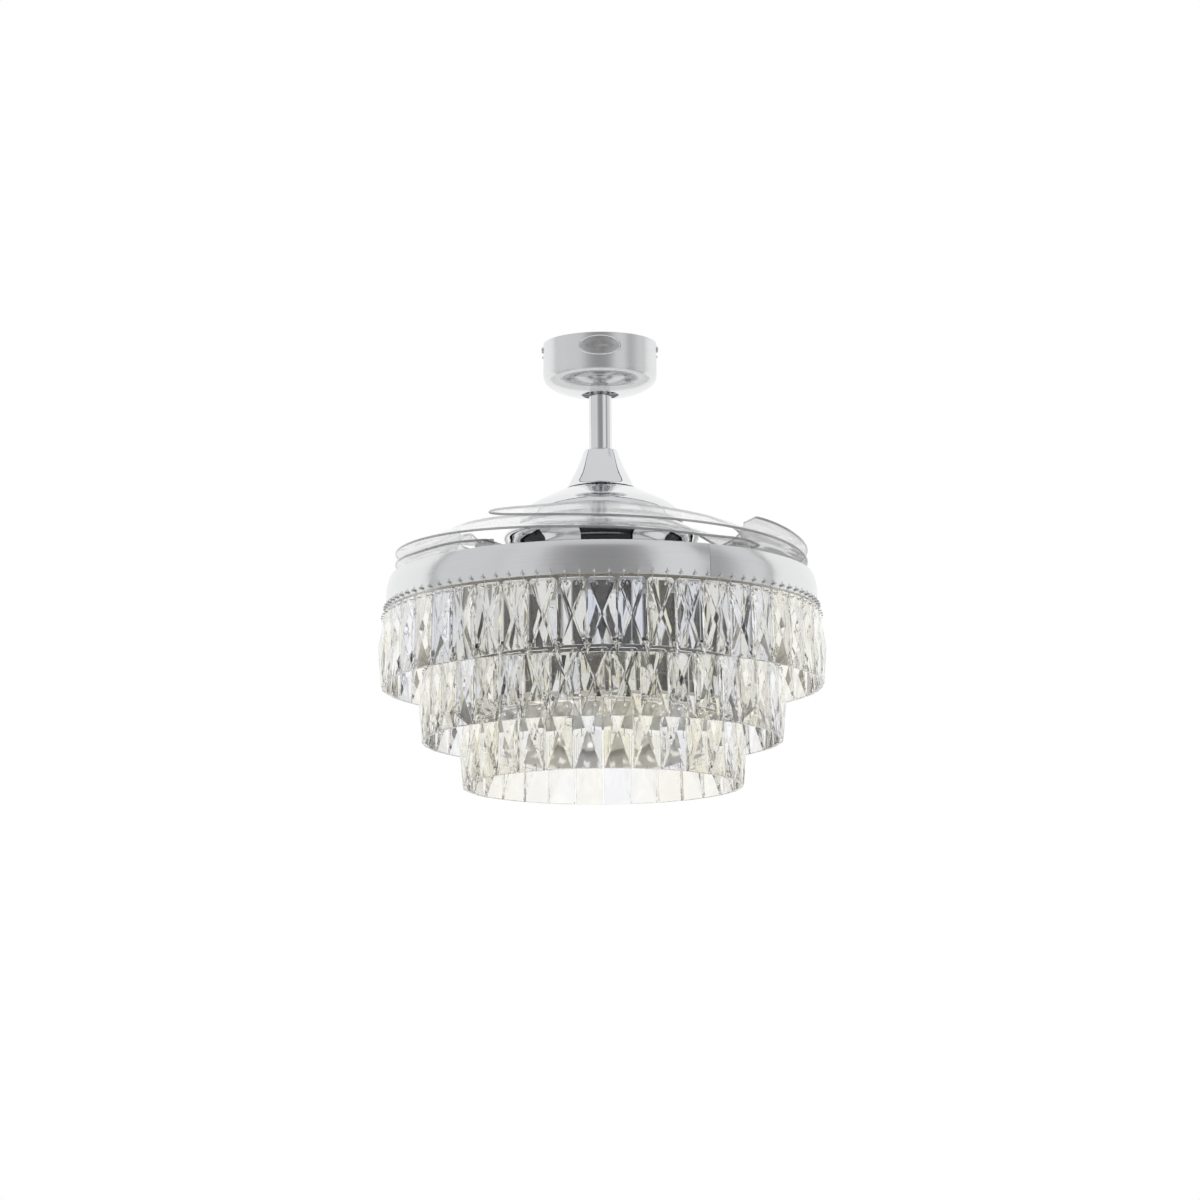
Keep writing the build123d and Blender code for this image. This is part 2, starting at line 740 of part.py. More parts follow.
# Lower casting, a bowl that narrows to the blade carrier
shell_inner_r = shell_lower_r - shell_wall
with BuildPart() as motor_shell_lower:
    with BuildSketch(Plane.XZ):
        with BuildLine():
            Polyline(
                (shaft_hole_r, shell_low_z),
                (shell_lower_r, shell_low_z),
                (shell_lower_r, shell_lower_shoulder_z),
            )
            Spline(
                (shell_lower_r, shell_lower_shoulder_z),
                (shell_split_r, shell_split_z),
                tangents=[(0, 1), (0.8, 1)],
            )
            Line((shell_split_r, shell_split_z), (shell_split_r - 2 * shell_wall, shell_split_z))
            Spline(
                (shell_split_r - 2 * shell_wall, shell_split_z),
                (shell_inner_r, shell_lower_shoulder_z),
                tangents=[(-0.8, -1), (0, -1)],
            )
            Polyline(
                (shell_inner_r, shell_lower_shoulder_z),
                (shell_inner_r, shell_inner_low_z),
                (shaft_hole_r, shell_inner_low_z),
                (shaft_hole_r, shell_low_z),
            )
        make_face()
    revolve(axis=Axis.Z)
    tube(shell_inner_low_z, bearing_low_zs[1] + bearing_height, hub_bore_r + shell_hub_wall, hub_bore_r)
    with BuildSketch(Plane.XY.offset(shell_low_z)):
        with PolarLocations(carrier_screw_circle_r, carrier_screw_count):
            Circle(carrier_screw_r)
    extrude(amount=carrier_screw_depth + hole_clearance, mode=Mode.SUBTRACT)
write(motor_shell_lower, "motor_shell_lower")

# Stator core: hub, teeth and pole tips
stator_low_z = stator_mid_z - stator_height / 2
pole_tip = sector(stator_r - stator_tip_t, stator_r, stator_tip_angle)
with BuildPart() as stator_core:
    with BuildSketch(Plane.XY.offset(stator_low_z)):
        Circle(stator_yoke_r)
        tooth_reach = stator_r - stator_tip_t / 2
        with PolarLocations(tooth_reach / 2, stator_teeth):
            Rectangle(tooth_reach, stator_tooth_width)
        with PolarLocations(0, stator_teeth):
            add(pole_tip)
        Circle(shaft_r + seat_gap, mode=Mode.SUBTRACT)
    extrude(amount=stator_height)
write(stator_core, "stator_core")

# One copper coil round each tooth
with BuildPart() as stator_windings:
    with BuildSketch(Plane.XY.offset(stator_low_z - coil_overhang)):
        with PolarLocations((coil_inner_r + coil_outer_r) / 2, stator_teeth):
            Rectangle(coil_outer_r - coil_inner_r, coil_width)
    extrude(amount=stator_height + 2 * coil_overhang)
    with BuildSketch(Plane.XY.offset(stator_low_z - seat_gap)):
        with PolarLocations(stator_r / 2, stator_teeth):
            Rectangle(stator_r, stator_tooth_width + 2 * seat_gap)
    extrude(amount=stator_height + 2 * seat_gap, mode=Mode.SUBTRACT)
write(stator_windings, "stator_windings")

# Magnets on the inner wall of the lower shell
magnet_low_z = stator_mid_z - magnet_height / 2
magnet_outer_r = shell_inner_r - seat_gap
magnet_face = sector(magnet_outer_r - magnet_t, magnet_outer_r, 360 / magnet_count - magnet_gap_angle)
with BuildPart() as rotor_magnets:
    with BuildSketch(Plane.XY.offset(magnet_low_z)):
        with PolarLocations(0, magnet_count):
            add(magnet_face)
    extrude(amount=magnet_height)
write(rotor_magnets, "rotor_magnets")

# Blade carrier plate with the lip that guides the timing ring
carrier_top_z = shell_low_z
carrier_low_z = carrier_top_z - carrier_t
pivot_angles = [first_root_angle - pivot_sweep - turn_k * 360 / blade_count for turn_k in range(blade_count)]
pivot_spots = [polar(pivot_r, angle) for angle in pivot_angles]
spring_direction = pivot_angles[0] + spring_turn
post_offset = polar(spring_leg_reach, spring_direction)
first_post = (pivot_spots[0][0] + post_offset[0], pivot_spots[0][1] + post_offset[1])
post_r = math.hypot(*first_post)
post_angle = math.degrees(math.atan2(first_post[1], first_post[0]))
post_spots = [polar(post_r, post_angle - turn_k * 360 / blade_count) for turn_k in range(blade_count)]
window_face = sector(carrier_window_inner_r, carrier_window_outer_r, carrier_window_angle)
with BuildPart() as blade_carrier:
    tube(carrier_low_z, carrier_top_z, carrier_r, shaft_hole_r)
    tube(carrier_top_z, carrier_top_z + lip_height, lip_r, lip_r - lip_width)
    with BuildSketch(Plane.XY.offset(carrier_low_z)):
        with PolarLocations(0, blade_count, start_angle=pivot_angles[0] + keeper_turn):
            add(window_face)
    extrude(amount=carrier_t, mode=Mode.SUBTRACT)
    pins(Plane.XY.offset(carrier_low_z), pivot_spots, stud_r + seat_gap, carrier_t, Mode.SUBTRACT)
    pins(Plane.XY.offset(carrier_top_z), post_spots, spring_post_r, spring_post_height)
    with BuildSketch(Plane.XY.offset(carrier_low_z)):
        with PolarLocations(carrier_screw_circle_r, carrier_screw_count):
            Circle(carrier_screw_r + hole_clearance)
        with PolarLocations(lip_r - lip_width / 2, blade_count, start_angle=pivot_angles[0] + keeper_turn):
            Circle(keeper_screw_r)
    extrude(amount=carrier_t + lip_height, mode=Mode.SUBTRACT)
write(blade_carrier, "blade_carrier")

with BuildPart() as carrier_screws:
    with BuildSketch(Plane.XY.offset(carrier_low_z - carrier_screw_head_t)):
        with PolarLocations(carrier_screw_circle_r, carrier_screw_count):
            Circle(carrier_screw_head_r)
    extrude(amount=carrier_screw_head_t)
    with BuildSketch(Plane.XY.offset(carrier_low_z)):
        with PolarLocations(carrier_screw_circle_r, carrier_screw_count):
            Circle(carrier_screw_r - seat_gap)
    extrude(amount=carrier_t + carrier_screw_depth)
write(carrier_screws, "carrier_screws")

# Shapes of the timing gears
blade_root_z = band_top_z + blade_root_rise
blade_root_under_z = blade_root_z - blade_t / 2
blade_root_top_z = blade_root_z + blade_t / 2
gear_low_z = carrier_top_z + gear_lift
gear_top_z = gear_low_z + gear_t
blade_gear_r = gear_module * blade_gear_teeth / 2
ring_gear_r = pivot_r - blade_gear_r
ring_gear_teeth = round(2 * ring_gear_r / gear_module)
tooth_out = gear_module * gear_addendum_share
tooth_in = gear_module * gear_dedendum_share
tip_half = gear_module * gear_tip_share / 2
root_half = gear_module * gear_root_share / 2


def tooth(pitch_r):
    """One straight-sided tooth that points along +X from the gear's centre."""
    root_r = pitch_r - tooth_in - tooth_in / 2
    with BuildSketch() as shape:
        with BuildLine():
            Polyline(
                (root_r, -root_half),
                (pitch_r + tooth_out, -tip_half),
                (pitch_r + tooth_out, tip_half),
                (root_r, root_half),
                close=True,
            )
        make_face()
    return shape.sketch


# Timing ring: an outside gear, toothed where the blade gears run
ring_step = 360 / ring_gear_teeth
teeth_before = round(ring_arc_before / ring_step)
teeth_after = round(ring_arc_after / ring_step)
ring_tooth = tooth(ring_gear_r)
with BuildPart() as timing_ring:
    tube(gear_low_z, gear_top_z, ring_gear_r - tooth_in, lip_r + running_clearance)
    with BuildSketch(Plane.XY.offset(gear_low_z)):
        for pivot_angle in pivot_angles:
            arc_start = pivot_angle - (teeth_before - 0.5) * ring_step
            with PolarLocations(
                0,
                teeth_before + teeth_after,
                start_angle=arc_start,
                angular_range=(teeth_before + teeth_after) * ring_step,
            ):
                add(ring_tooth)
    extrude(amount=gear_t)
write(timing_ring, "timing_ring")

# Keepers hold the timing ring down on the carrier
keeper_low_z = carrier_top_z + lip_height
with BuildPart() as ring_keepers:
    for low, radius, height in (
        (keeper_low_z, keeper_r, keeper_t),
        (keeper_low_z + keeper_t, keeper_head_r, keeper_head_t),
        (carrier_low_z, keeper_screw_r - seat_gap, carrier_t + lip_height),
    ):
        with BuildSketch(Plane.XY.offset(low)):
            with PolarLocations(lip_r - lip_width / 2, blade_count, start_angle=pivot_angles[0] + keeper_turn):
                Circle(radius)
        extrude(amount=height)
write(ring_keepers, "ring_keepers")

# Pivot studs: nut under the carrier, shank through hub and blade, head on top
with BuildPart() as pivot_studs:
    stud_top_z = blade_root_top_z + gear_lift
    pins(Plane.XY.offset(carrier_low_z - stud_nut_t), pivot_spots, stud_nut_r, stud_nut_t)
    pins(Plane.XY.offset(carrier_low_z), pivot_spots, stud_r, stud_top_z - carrier_low_z)
    pins(Plane.XY.offset(stud_top_z), pivot_spots, stud_head_r, stud_head_t)
    fillet(pivot_studs.edges().group_by(Axis.Z)[-1], stud_head_t / 3)
write(pivot_studs, "pivot_studs")

# One return spring, wound round a blade hub, with a leg to the carrier post
coil_r = hub_r + spring_gap + spring_wire_r
coil_low_z = gear_top_z + spring_lift
leg_length = math.sqrt(spring_leg_reach**2 - coil_r**2) - spring_post_r - spring_wire_r - seat_gap
leg_turn = math.degrees(math.acos(coil_r / spring_leg_reach))
coil_start = spring_direction + leg_turn
coil_plane = Plane(
    origin=(pivot_spots[0][0], pivot_spots[0][1], coil_low_z),
    x_dir=(*polar(1, coil_start), 0),
    z_dir=(0, 0, 1),
)
with BuildPart() as return_spring:
    with BuildLine(coil_plane) as coil_path:
        Helix(spring_pitch, spring_pitch * spring_turns, coil_r)
    coil_edge = coil_path.edges()[0]
    with BuildSketch(Plane(origin=coil_edge @ 0, z_dir=coil_edge % 0)):
        Circle(spring_wire_r)
    sweep(path=coil_edge, is_frenet=True)
    leg_plane = Plane(origin=coil_edge @ 0, z_dir=(coil_edge % 0) * -1)
    with BuildSketch(leg_plane):
        Circle(spring_wire_r)
    extrude(amount=leg_length)
with BuildPart() as return_springs:
    for turn_k in range(blade_count):
        add(return_spring.part.rotate(Axis.Z, -turn_k * 360 / blade_count))
write(return_springs, "return_springs")

# Blade hub: gear at the foot, round boss up to the blade
hub_tooth = tooth(blade_gear_r)
with BuildPart() as blade_hub:
    hub_plane = Plane(
        origin=(pivot_spots[0][0], pivot_spots[0][1], gear_low_z),
        x_dir=(*polar(1, pivot_angles[0] + 180), 0),
        z_dir=(0, 0, 1),
    )
    with BuildSketch(hub_plane):
        Circle(blade_gear_r - tooth_in)
        with PolarLocations(0, blade_gear_teeth):
            add(hub_tooth)
    extrude(amount=gear_t)
    with BuildSketch(hub_plane):
        Circle(hub_r)
    extrude(amount=blade_root_under_z - gear_low_z)
    with BuildSketch(hub_plane):
        Circle(stud_r + running_clearance)
    extrude(amount=blade_root_under_z - gear_low_z, mode=Mode.SUBTRACT)
    with BuildSketch(hub_plane.offset(blade_root_under_z - gear_low_z)):
        with PolarLocations(blade_screw_circle_r, blade_screw_count):
            Circle(blade_screw_r)
    extrude(amount=-blade_screw_depth - hole_clearance, mode=Mode.SUBTRACT)

# Blade screws, down through the blade into the hub
with BuildPart() as blade_screw_set:
    with BuildSketch(hub_plane.offset(blade_root_top_z - gear_low_z)):
        with PolarLocations(blade_screw_circle_r, blade_screw_count):
            Circle(blade_screw_head_r)
    extrude(amount=blade_screw_head_t)
    fillet(blade_screw_set.edges().group_by(Axis.Z)[-1], blade_screw_head_t / 3)
    with BuildSketch(hub_plane.offset(blade_root_top_z - gear_low_z)):
        with PolarLocations(blade_screw_circle_r, blade_screw_count):
            Circle(blade_screw_r - seat_gap)
    extrude(amount=-blade_t - blade_screw_depth)


def blade_section(sweep_angle, rise_share, pitch_share):
    """Cross-section of the formed sheet at one sweep angle, wider than the finished blade."""
    angle = math.radians(first_root_angle - sweep_angle)
    across = Plane(
        origin=(0, 0, 0),
        x_dir=(math.cos(angle), math.sin(angle), 0),
        z_dir=(math.sin(angle), -math.cos(angle), 0),
    )
    slope = blade_pitch_slope * pitch_share
    rise = blade_root_rise + (blade_tip_rise - blade_root_rise) * rise_share
    outer = blade_outer_r + blade_edge_overrun
    inner = blade_inner_r - blade_edge_overrun
    outer_z = band_top_z + rise - slope * blade_edge_overrun
    inner_z = band_top_z + rise + slope * (blade_outer_r - inner)
    half = blade_t / 2 * math.hypot(1, slope)
    with BuildSketch(across) as section:
        with BuildLine():
            Polyline(
                (inner, inner_z - half),
                (outer, outer_z - half),
                (outer, outer_z + half),
                (inner, inner_z + half),
                close=True,
            )
        make_face()
    return section.sketch


def blade_plan():
    """Finished outline of the folded blade, seen from above."""

    def at(sweep_angle, radius):
        return polar(radius, first_root_angle - sweep_angle)

    def along(sweep_angle):
        return polar(1, first_root_angle - sweep_angle - 90)

    with BuildLine() as outline:
        root_outer = at(0, blade_root_outer_r)
        root_inner = at(0, blade_root_inner_r)
        outer_start = at(52, blade_outer_r)
        outer_end = at(170, blade_outer_r)
        tip = at(182.5, blade_tip_r)
        inner_end = at(158, blade_tip_inner_r)
        inner_start = at(36, blade_inner_r)
        waist = at(20, (blade_inner_r + blade_root_inner_r) / 2)
        neck = at(9, blade_root_inner_r)
        Spline(root_outer, outer_start, tangents=[along(-18), along(52)])
        ThreePointArc(outer_start, at(110, blade_outer_r), outer_end)
        Spline(outer_end, tip, tangents=[along(170), along(198)])
        Line(tip, inner_end)
        Spline(inner_end, at(140, blade_inner_r), tangents=[along(152 - 180), along(140 - 180)])
        ThreePointArc(at(140, blade_inner_r), at(90, blade_inner_r), inner_start)
        Spline(inner_start, waist, neck, root_inner, tangents=[along(36 - 180), along(-4 - 180)])
        Line(root_inner, root_outer)
    make_face(outline.edges())


with BuildPart() as blade:
    loft([blade_section(*section_shares) for section_shares in blade_section_shares])
    with BuildSketch(Plane.XY.offset(band_top_z)) as blade_outline:
        blade_plan()
        for sweep_angle, radius, corner_r in blade_corners:
            spot = Vector(*polar(radius, first_root_angle - sweep_angle))
            near = blade_outline.vertices().sort_by_distance((spot.X, spot.Y, 0))[0]
            fillet(near, corner_r)
    extrude(amount=blade_outer_r / 2, mode=Mode.INTERSECT)
    with BuildSketch(hub_plane):
        Circle(stud_r + running_clearance)
        with PolarLocations(blade_screw_circle_r, blade_screw_count):
            Circle(blade_screw_r + hole_clearance)
    extrude(amount=blade_root_top_z - gear_low_z + cut_overrun, mode=Mode.SUBTRACT)
    with BuildSketch(hub_plane):
        Circle(hub_r + blade_seat_margin)
    extrude(amount=blade_root_under_z - gear_low_z + seat_gap, mode=Mode.SUBTRACT)

for turn_k in range(blade_count):
    for piece, label in ((blade, "blade"), (blade_hub, "blade_hub"), (blade_screw_set, "blade_screws")):
        copy_part = piece.part.rotate(Axis.Z, -turn_k * 360 / blade_count)
        copy_part.label = f"{label}_{turn_k + 1}"
        export_step(copy_part, f"parts/{copy_part.label}.step")

# Chrome band of the light drum
pin_side = crystal_width / 2 - crystal_hole_inset
band_top_r = band_r - band_shoulder_in
shoulder_mid_r = band_r - band_shoulder_in * band_shoulder_bow_share
shoulder_mid_z = (band_shoulder_z + band_top_z) / 2
with BuildPart() as drum_band:
    with BuildSketch(Plane.XZ):
        with BuildLine():
            Line((band_r - band_wall, band_low_z), (band_r, band_low_z))
            Line((band_r, band_low_z), (band_r, band_shoulder_z))
            ThreePointArc((band_r, band_shoulder_z), (shoulder_mid_r, shoulder_mid_z), (band_top_r, band_top_z))
            Line((band_top_r, band_top_z), (band_top_r - band_wall, band_top_z))
            ThreePointArc(
                (band_top_r - band_wall, band_top_z),
                (shoulder_mid_r - band_wall, shoulder_mid_z),
                (band_r - band_wall, band_shoulder_z),
            )
            Line((band_r - band_wall, band_shoulder_z), (band_r - band_wall, band_low_z))
        make_face()
    revolve(axis=Axis.Z)
    top_rims = drum_band.edges().filter_by(GeomType.CIRCLE).group_by(Axis.Z)[-1]
    fillet(top_rims.sort_by(SortBy.RADIUS)[-1], band_lip_r)
    with BuildSketch(Plane.XY.offset(band_low_z - cut_overrun)):
        with PolarLocations(band_r - band_shoulder_in, 1, start_angle=band_seam_turn):
            Rectangle(4 * band_shoulder_in, band_seam_width)
    extrude(amount=band_top_z - band_low_z + 2 * cut_overrun, mode=Mode.SUBTRACT)
    pin_hole_turn = math.degrees(math.atan2(pin_side, band_r + crystal_hang_out))
    with Locations((0, 0, band_low_z + pin_rise)):
        for side in (1, -1):
            with PolarLocations(band_r, tier_counts[0], start_angle=side * pin_hole_turn):
                Cylinder(pin_wire_r + pin_hole_gap, 4 * band_wall, rotation=(0, 90, 0), mode=Mode.SUBTRACT)
write(drum_band, "drum_band")

# Light pan inside the band, clamped to the shaft by a washer and nut
pan_low_z = pan_top_z - pan_t
pan_r = band_r - band_wall - seat_gap
with BuildPart() as light_pan:
    tube(pan_low_z, pan_top_z, pan_r, shaft_r + seat_gap)
    tube(pan_low_z - pan_flange_depth, pan_low_z, pan_r, pan_r - pan_t)
    for ring_r in tier_ring_r[1:]:
        with BuildSketch(Plane.XY.offset(pan_low_z)):
            with PolarLocations(
                ring_r - shell_tier_wall - shell_tier_flange / 2,
                shell_screw_count,
                start_angle=shell_tier_hold_turn,
            ):
                Circle(shell_screw_r + hole_clearance)
        extrude(amount=pan_t, mode=Mode.SUBTRACT)
write(light_pan, "light_pan")

with BuildPart() as shaft_washer:
    tube(pan_low_z - washer_t, pan_low_z, washer_r, shaft_r + seat_gap)
write(shaft_washer, "shaft_washer")

with BuildPart() as shaft_nut:
    with BuildSketch(Plane.XY.offset(pan_low_z - washer_t - nut_t)):
        RegularPolygon(nut_r, 6)
        Circle(shaft_r + seat_gap, mode=Mode.SUBTRACT)
    extrude(amount=nut_t)
write(shaft_nut, "shaft_nut")

# LED board, driver and opal diffuser
with BuildPart() as led_board:
    tube(pan_low_z - board_t, pan_low_z, board_outer_r, board_inner_r)
    with BuildSketch(Plane.XY.offset(pan_low_z - board_t - led_t)):
        for row_r in led_rows_r:
            with PolarLocations(row_r, leds_per_row):
                Rectangle(led_size, led_size)
    extrude(amount=led_t)
write(led_board, "led_board")

with BuildPart() as led_driver:
    with BuildSketch(Plane.XY.offset(pan_low_z - driver_depth)):
        with Locations((driver_offset, 0)):
            Rectangle(driver_width, driver_length)
    extrude(amount=driver_depth)
    fillet(led_driver.edges().filter_by(Axis.Z), pan_t)
write(led_driver, "led_driver")

with BuildPart() as light_diffuser:
    tube(pan_low_z - diffuser_depth, pan_low_z, diffuser_r)
    fillet(light_diffuser.edges().group_by(Axis.Z)[0], diffuser_corner_r)
    tube(
        pan_low_z - diffuser_depth + diffuser_wall,
        pan_low_z,
        diffuser_r - diffuser_wall,
        mode=Mode.SUBTRACT,
    )
write(light_diffuser, "light_diffuser")

# One crystal: crossing roof shapes give the X-cut on both faces
half_width = crystal_width / 2
half_height = crystal_height / 2
with BuildPart() as crystal:
    with BuildSketch(Plane.XY.offset(-half_height)):
        with BuildLine():
            Polyline(
                (-crystal_edge_half, -half_width),
                (crystal_edge_half, -half_width),
                (crystal_apex_half, 0),
                (crystal_edge_half, half_width),
                (-crystal_edge_half, half_width),
                (-crystal_apex_half, 0),
                close=True,
            )
        make_face()
    extrude(amount=crystal_height)
    with BuildSketch(Plane.XZ.offset(-half_width)):
        with BuildLine():
            Polyline(
                (-crystal_edge_half, -half_height),
                (crystal_edge_half, -half_height),
                (crystal_apex_half, 0),
                (crystal_edge_half, half_height),
                (-crystal_edge_half, half_height),
                (-crystal_apex_half, 0),
                close=True,
            )
        make_face()
    extrude(amount=crystal_width, mode=Mode.INTERSECT)
    with BuildSketch(Plane.YZ.offset(-crystal_apex_half)):
        Rectangle(crystal_width, crystal_height)
        chamfer(
            [corner for corner in Rectangle(crystal_width, crystal_height).vertices() if corner.Z > 0],
            crystal_corner,
        )
    extrude(amount=2 * crystal_apex_half, mode=Mode.INTERSECT)
    pins(
        Plane.YZ.offset(-crystal_apex_half),
        [(side * pin_side, half_height - crystal_hole_drop) for side in (1, -1)],
        crystal_hole_r,
        2 * crystal_apex_half,
        Mode.SUBTRACT,
    )

# One pin of square wire: spike and ball outside, shank in through the wall, leg down, out through the crystal
spike_x = pin_spike_gap + pin_wire_r
leg_x = -band_wall - pin_leg_gap - pin_wire_r
hook_z = pin_hook_rest - crystal_drop - crystal_hole_drop
front_x = crystal_hang_out + pin_reach
with BuildPart() as hanging_pin:
    with BuildSketch(Plane.XZ.offset(-pin_wire_r)):
        with BuildLine() as pin_line:
            Polyline(
                (spike_x, pin_rise + pin_spike),
                (spike_x, pin_rise),
                (leg_x, pin_rise),
                (leg_x, hook_z),
                (front_x, hook_z),
            )
        trace(pin_line.edges(), line_width=2 * pin_wire_r)
    extrude(amount=2 * pin_wire_r)
    for middle_x, middle_z, size in (
        (pin_spike_gap + pin_ball_r, pin_rise, pin_ball_r),
        (front_x, hook_z, pin_bead_r),
    ):
        with BuildSketch(Plane.XY.offset(middle_z - size * bead_height_share)):
            with Locations((middle_x, 0)):
                Circle(size)
        extrude(amount=2 * size * bead_height_share)

# Tiers: crystals and pins copied round each ring, each crystal leaning out from its hole
hole_line = Axis((0, 0, half_height - crystal_hole_drop), (0, 1, 0))
leaning_crystal = crystal.part.rotate(hole_line, -crystal_lean)
for tier, (count, ring_r, low_z) in enumerate(zip(tier_counts, tier_ring_r, tier_low_z), start=1):
    crystal_mid_z = low_z + half_height
    ring_low_z = low_z + crystal_height + crystal_drop
    with BuildPart() as tier_crystals:
        with Locations((0, 0, crystal_mid_z)):
            with PolarLocations(ring_r + crystal_hang_out, count):
                add(leaning_crystal)
    write(tier_crystals, f"crystals_tier_{tier}")
    pin_turn = math.degrees(math.atan2(pin_side, ring_r + crystal_hang_out))
    with BuildPart() as tier_pins:
        with Locations((0, 0, ring_low_z)):
            for side in (1, -1):
                with PolarLocations(ring_r, count, start_angle=side * pin_turn):
                    add(hanging_pin.part)
    write(tier_pins, f"hanging_pins_tier_{tier}")
    if tier > 1:
        with BuildPart() as tier_shell:
            tube(ring_low_z, pan_low_z, ring_r, ring_r - shell_tier_wall)
            tube(
                pan_low_z - shell_tier_wall,
                pan_low_z,
                ring_r - shell_tier_wall,
                ring_r - shell_tier_wall - shell_tier_flange,
            )
            with BuildSketch(Plane.XY.offset(pan_low_z - shell_tier_wall)):
                with PolarLocations(
                    ring_r - shell_tier_wall - shell_tier_flange / 2,
                    shell_screw_count,
                    start_angle=shell_tier_hold_turn,
                ):
                    Circle(shell_screw_r + hole_clearance)
            extrude(amount=shell_tier_wall, mode=Mode.SUBTRACT)
            with Locations((0, 0, ring_low_z + pin_rise)):
                for side in (1, -1):
                    with PolarLocations(ring_r, count, start_angle=side * pin_turn):
                        Cylinder(
                            pin_wire_r + pin_hole_gap, 4 * shell_tier_wall, rotation=(0, 90, 0), mode=Mode.SUBTRACT
                        )
        write(tier_shell, f"tier_shell_{tier}")

# Screws from the shells' flanges up into the pan
with BuildPart() as shell_screws:
    for ring_r in tier_ring_r[1:]:
        screw_circle_r = ring_r - shell_tier_wall - shell_tier_flange / 2
        for low, radius, height in (
            (pan_low_z - shell_tier_wall - shell_screw_head_t, shell_screw_head_r, shell_screw_head_t),
            (pan_low_z - shell_tier_wall, shell_screw_r, shell_tier_wall + pan_t),
        ):
            with BuildSketch(Plane.XY.offset(low)):
                with PolarLocations(screw_circle_r, shell_screw_count, start_angle=shell_tier_hold_turn):
                    Circle(radius)
            extrude(amount=height)
write(shell_screws, "shell_screws")
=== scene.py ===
"""Ceiling fan with folding clear blades and a stepped crystal light: finishes, fine pieces and studio."""

import math

import bmesh
import bpy
from mathutils import Matrix, Vector
from mathutils.bvhtree import BVHTree
from mathutils.geometry import delaunay_2d_cdt


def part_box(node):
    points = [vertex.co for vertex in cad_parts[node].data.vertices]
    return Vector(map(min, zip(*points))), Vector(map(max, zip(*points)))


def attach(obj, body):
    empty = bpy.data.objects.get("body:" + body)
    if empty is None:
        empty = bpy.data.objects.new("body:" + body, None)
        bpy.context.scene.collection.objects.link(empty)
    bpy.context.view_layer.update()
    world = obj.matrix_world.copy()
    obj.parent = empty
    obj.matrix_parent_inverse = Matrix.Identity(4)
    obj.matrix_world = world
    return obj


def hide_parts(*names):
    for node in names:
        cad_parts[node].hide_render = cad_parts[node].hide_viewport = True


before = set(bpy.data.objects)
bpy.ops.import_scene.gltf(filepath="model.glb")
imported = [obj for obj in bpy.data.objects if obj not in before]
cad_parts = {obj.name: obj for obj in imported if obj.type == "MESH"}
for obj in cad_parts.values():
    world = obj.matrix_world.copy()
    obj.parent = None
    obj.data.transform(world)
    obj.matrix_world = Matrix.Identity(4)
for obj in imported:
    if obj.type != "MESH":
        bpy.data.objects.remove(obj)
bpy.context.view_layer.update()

bl_info = {
    "name": "Folding blade ceiling fan",
    "version": (1, 0, 0),
    "blender": (4, 5, 0),
    "location": "3D View > Sidebar > Ceiling fan",
    "description": "Finishes a ceiling fan with clear folding blades over a crystal light",
    "category": "Object",
}

MM = 0.001
BLADES = (1, 2, 3, 4)
TIERS = (1, 2, 3)
TIER_CARRIERS = ("drum_band", "tier_shell_2", "tier_shell_3")
TIER_COUNTS = (48, 39, 30)

# CAD nodes that keep their shape, by finish
MIRROR_NODES = (
    "down_rod", "yoke_cover", "dome_cover", "dome_screws", "motor_shell_upper", "motor_shell_lower",
    "tier_shell_2", "tier_shell_3", "shell_screws", *(f"blade_screws_{k}" for k in BLADES),
)
STEEL_NODES = (
    "mounting_bracket", "hanger_pin", "yoke_coupling", "clevis_pin", "cotter_clip", "yoke_set_screw",
    "shaft_nut", "shaft_washer", "pivot_studs", "ring_keepers", "carrier_screws", "return_springs",
    "motor_shaft", "bearing_inner_races", "bearing_outer_races", "bearing_balls", "rotor_magnets",
)
BLACK_PLASTIC_NODES = ("hanger_ball", "ball_seat_liner", "receiver_box", "terminal_block", "led_driver")
PALE_PLASTIC_NODES = ("timing_ring", *(f"blade_hub_{k}" for k in BLADES))

# Tones of the room round the fan: degrees to the right of the camera's side, and the grey there
ROOM_TONES = (
    (-180, 1.0),
    (-95, 0.74),
    (-62, 0.72),
    (-56, 0.66),
    (-50, 0.76),
    (-34, 0.70),
    (-24, 0.42),
    (-10, 0.31),
    (8, 0.30),
    (22, 0.38),
    (31, 0.80),
    (56, 0.80),
    (58.5, 0.30),
    (72, 0.50),
    (82, 0.74),
    (180, 1.0),
)

# Tones of the panes that the glass looks out on, over the share of panes up to each
PANE_TONES = (
    (0.0, (0.02, 0.02, 0.02, 1.0)),
    (0.31, (0.03, 0.028, 0.025, 1.0)),
    (0.32, (0.80, 0.77, 0.62, 1.0)),
    (0.38, (0.97, 0.94, 0.82, 1.0)),
    (0.46, (1.0, 1.0, 1.0, 1.0)),
    (0.66, (0.90, 0.93, 1.0, 1.0)),
    (0.78, (1.0, 1.0, 1.0, 1.0)),
    (1.0, (1.0, 0.98, 0.93, 1.0)),
)

# Studio lights: name, place, side in metres and power in watts
LIGHTS = (
    ("key", (-2.2, -2.6, 0.9), 1.6, 60.0),
    ("fill", (2.6, -1.8, 0.2), 1.8, 30.0),
    ("back", (0.6, 3.0, 0.8), 1.6, 40.0),
)
LIGHTS_AIM = (0, 0, -0.3)


# Shader arithmetic


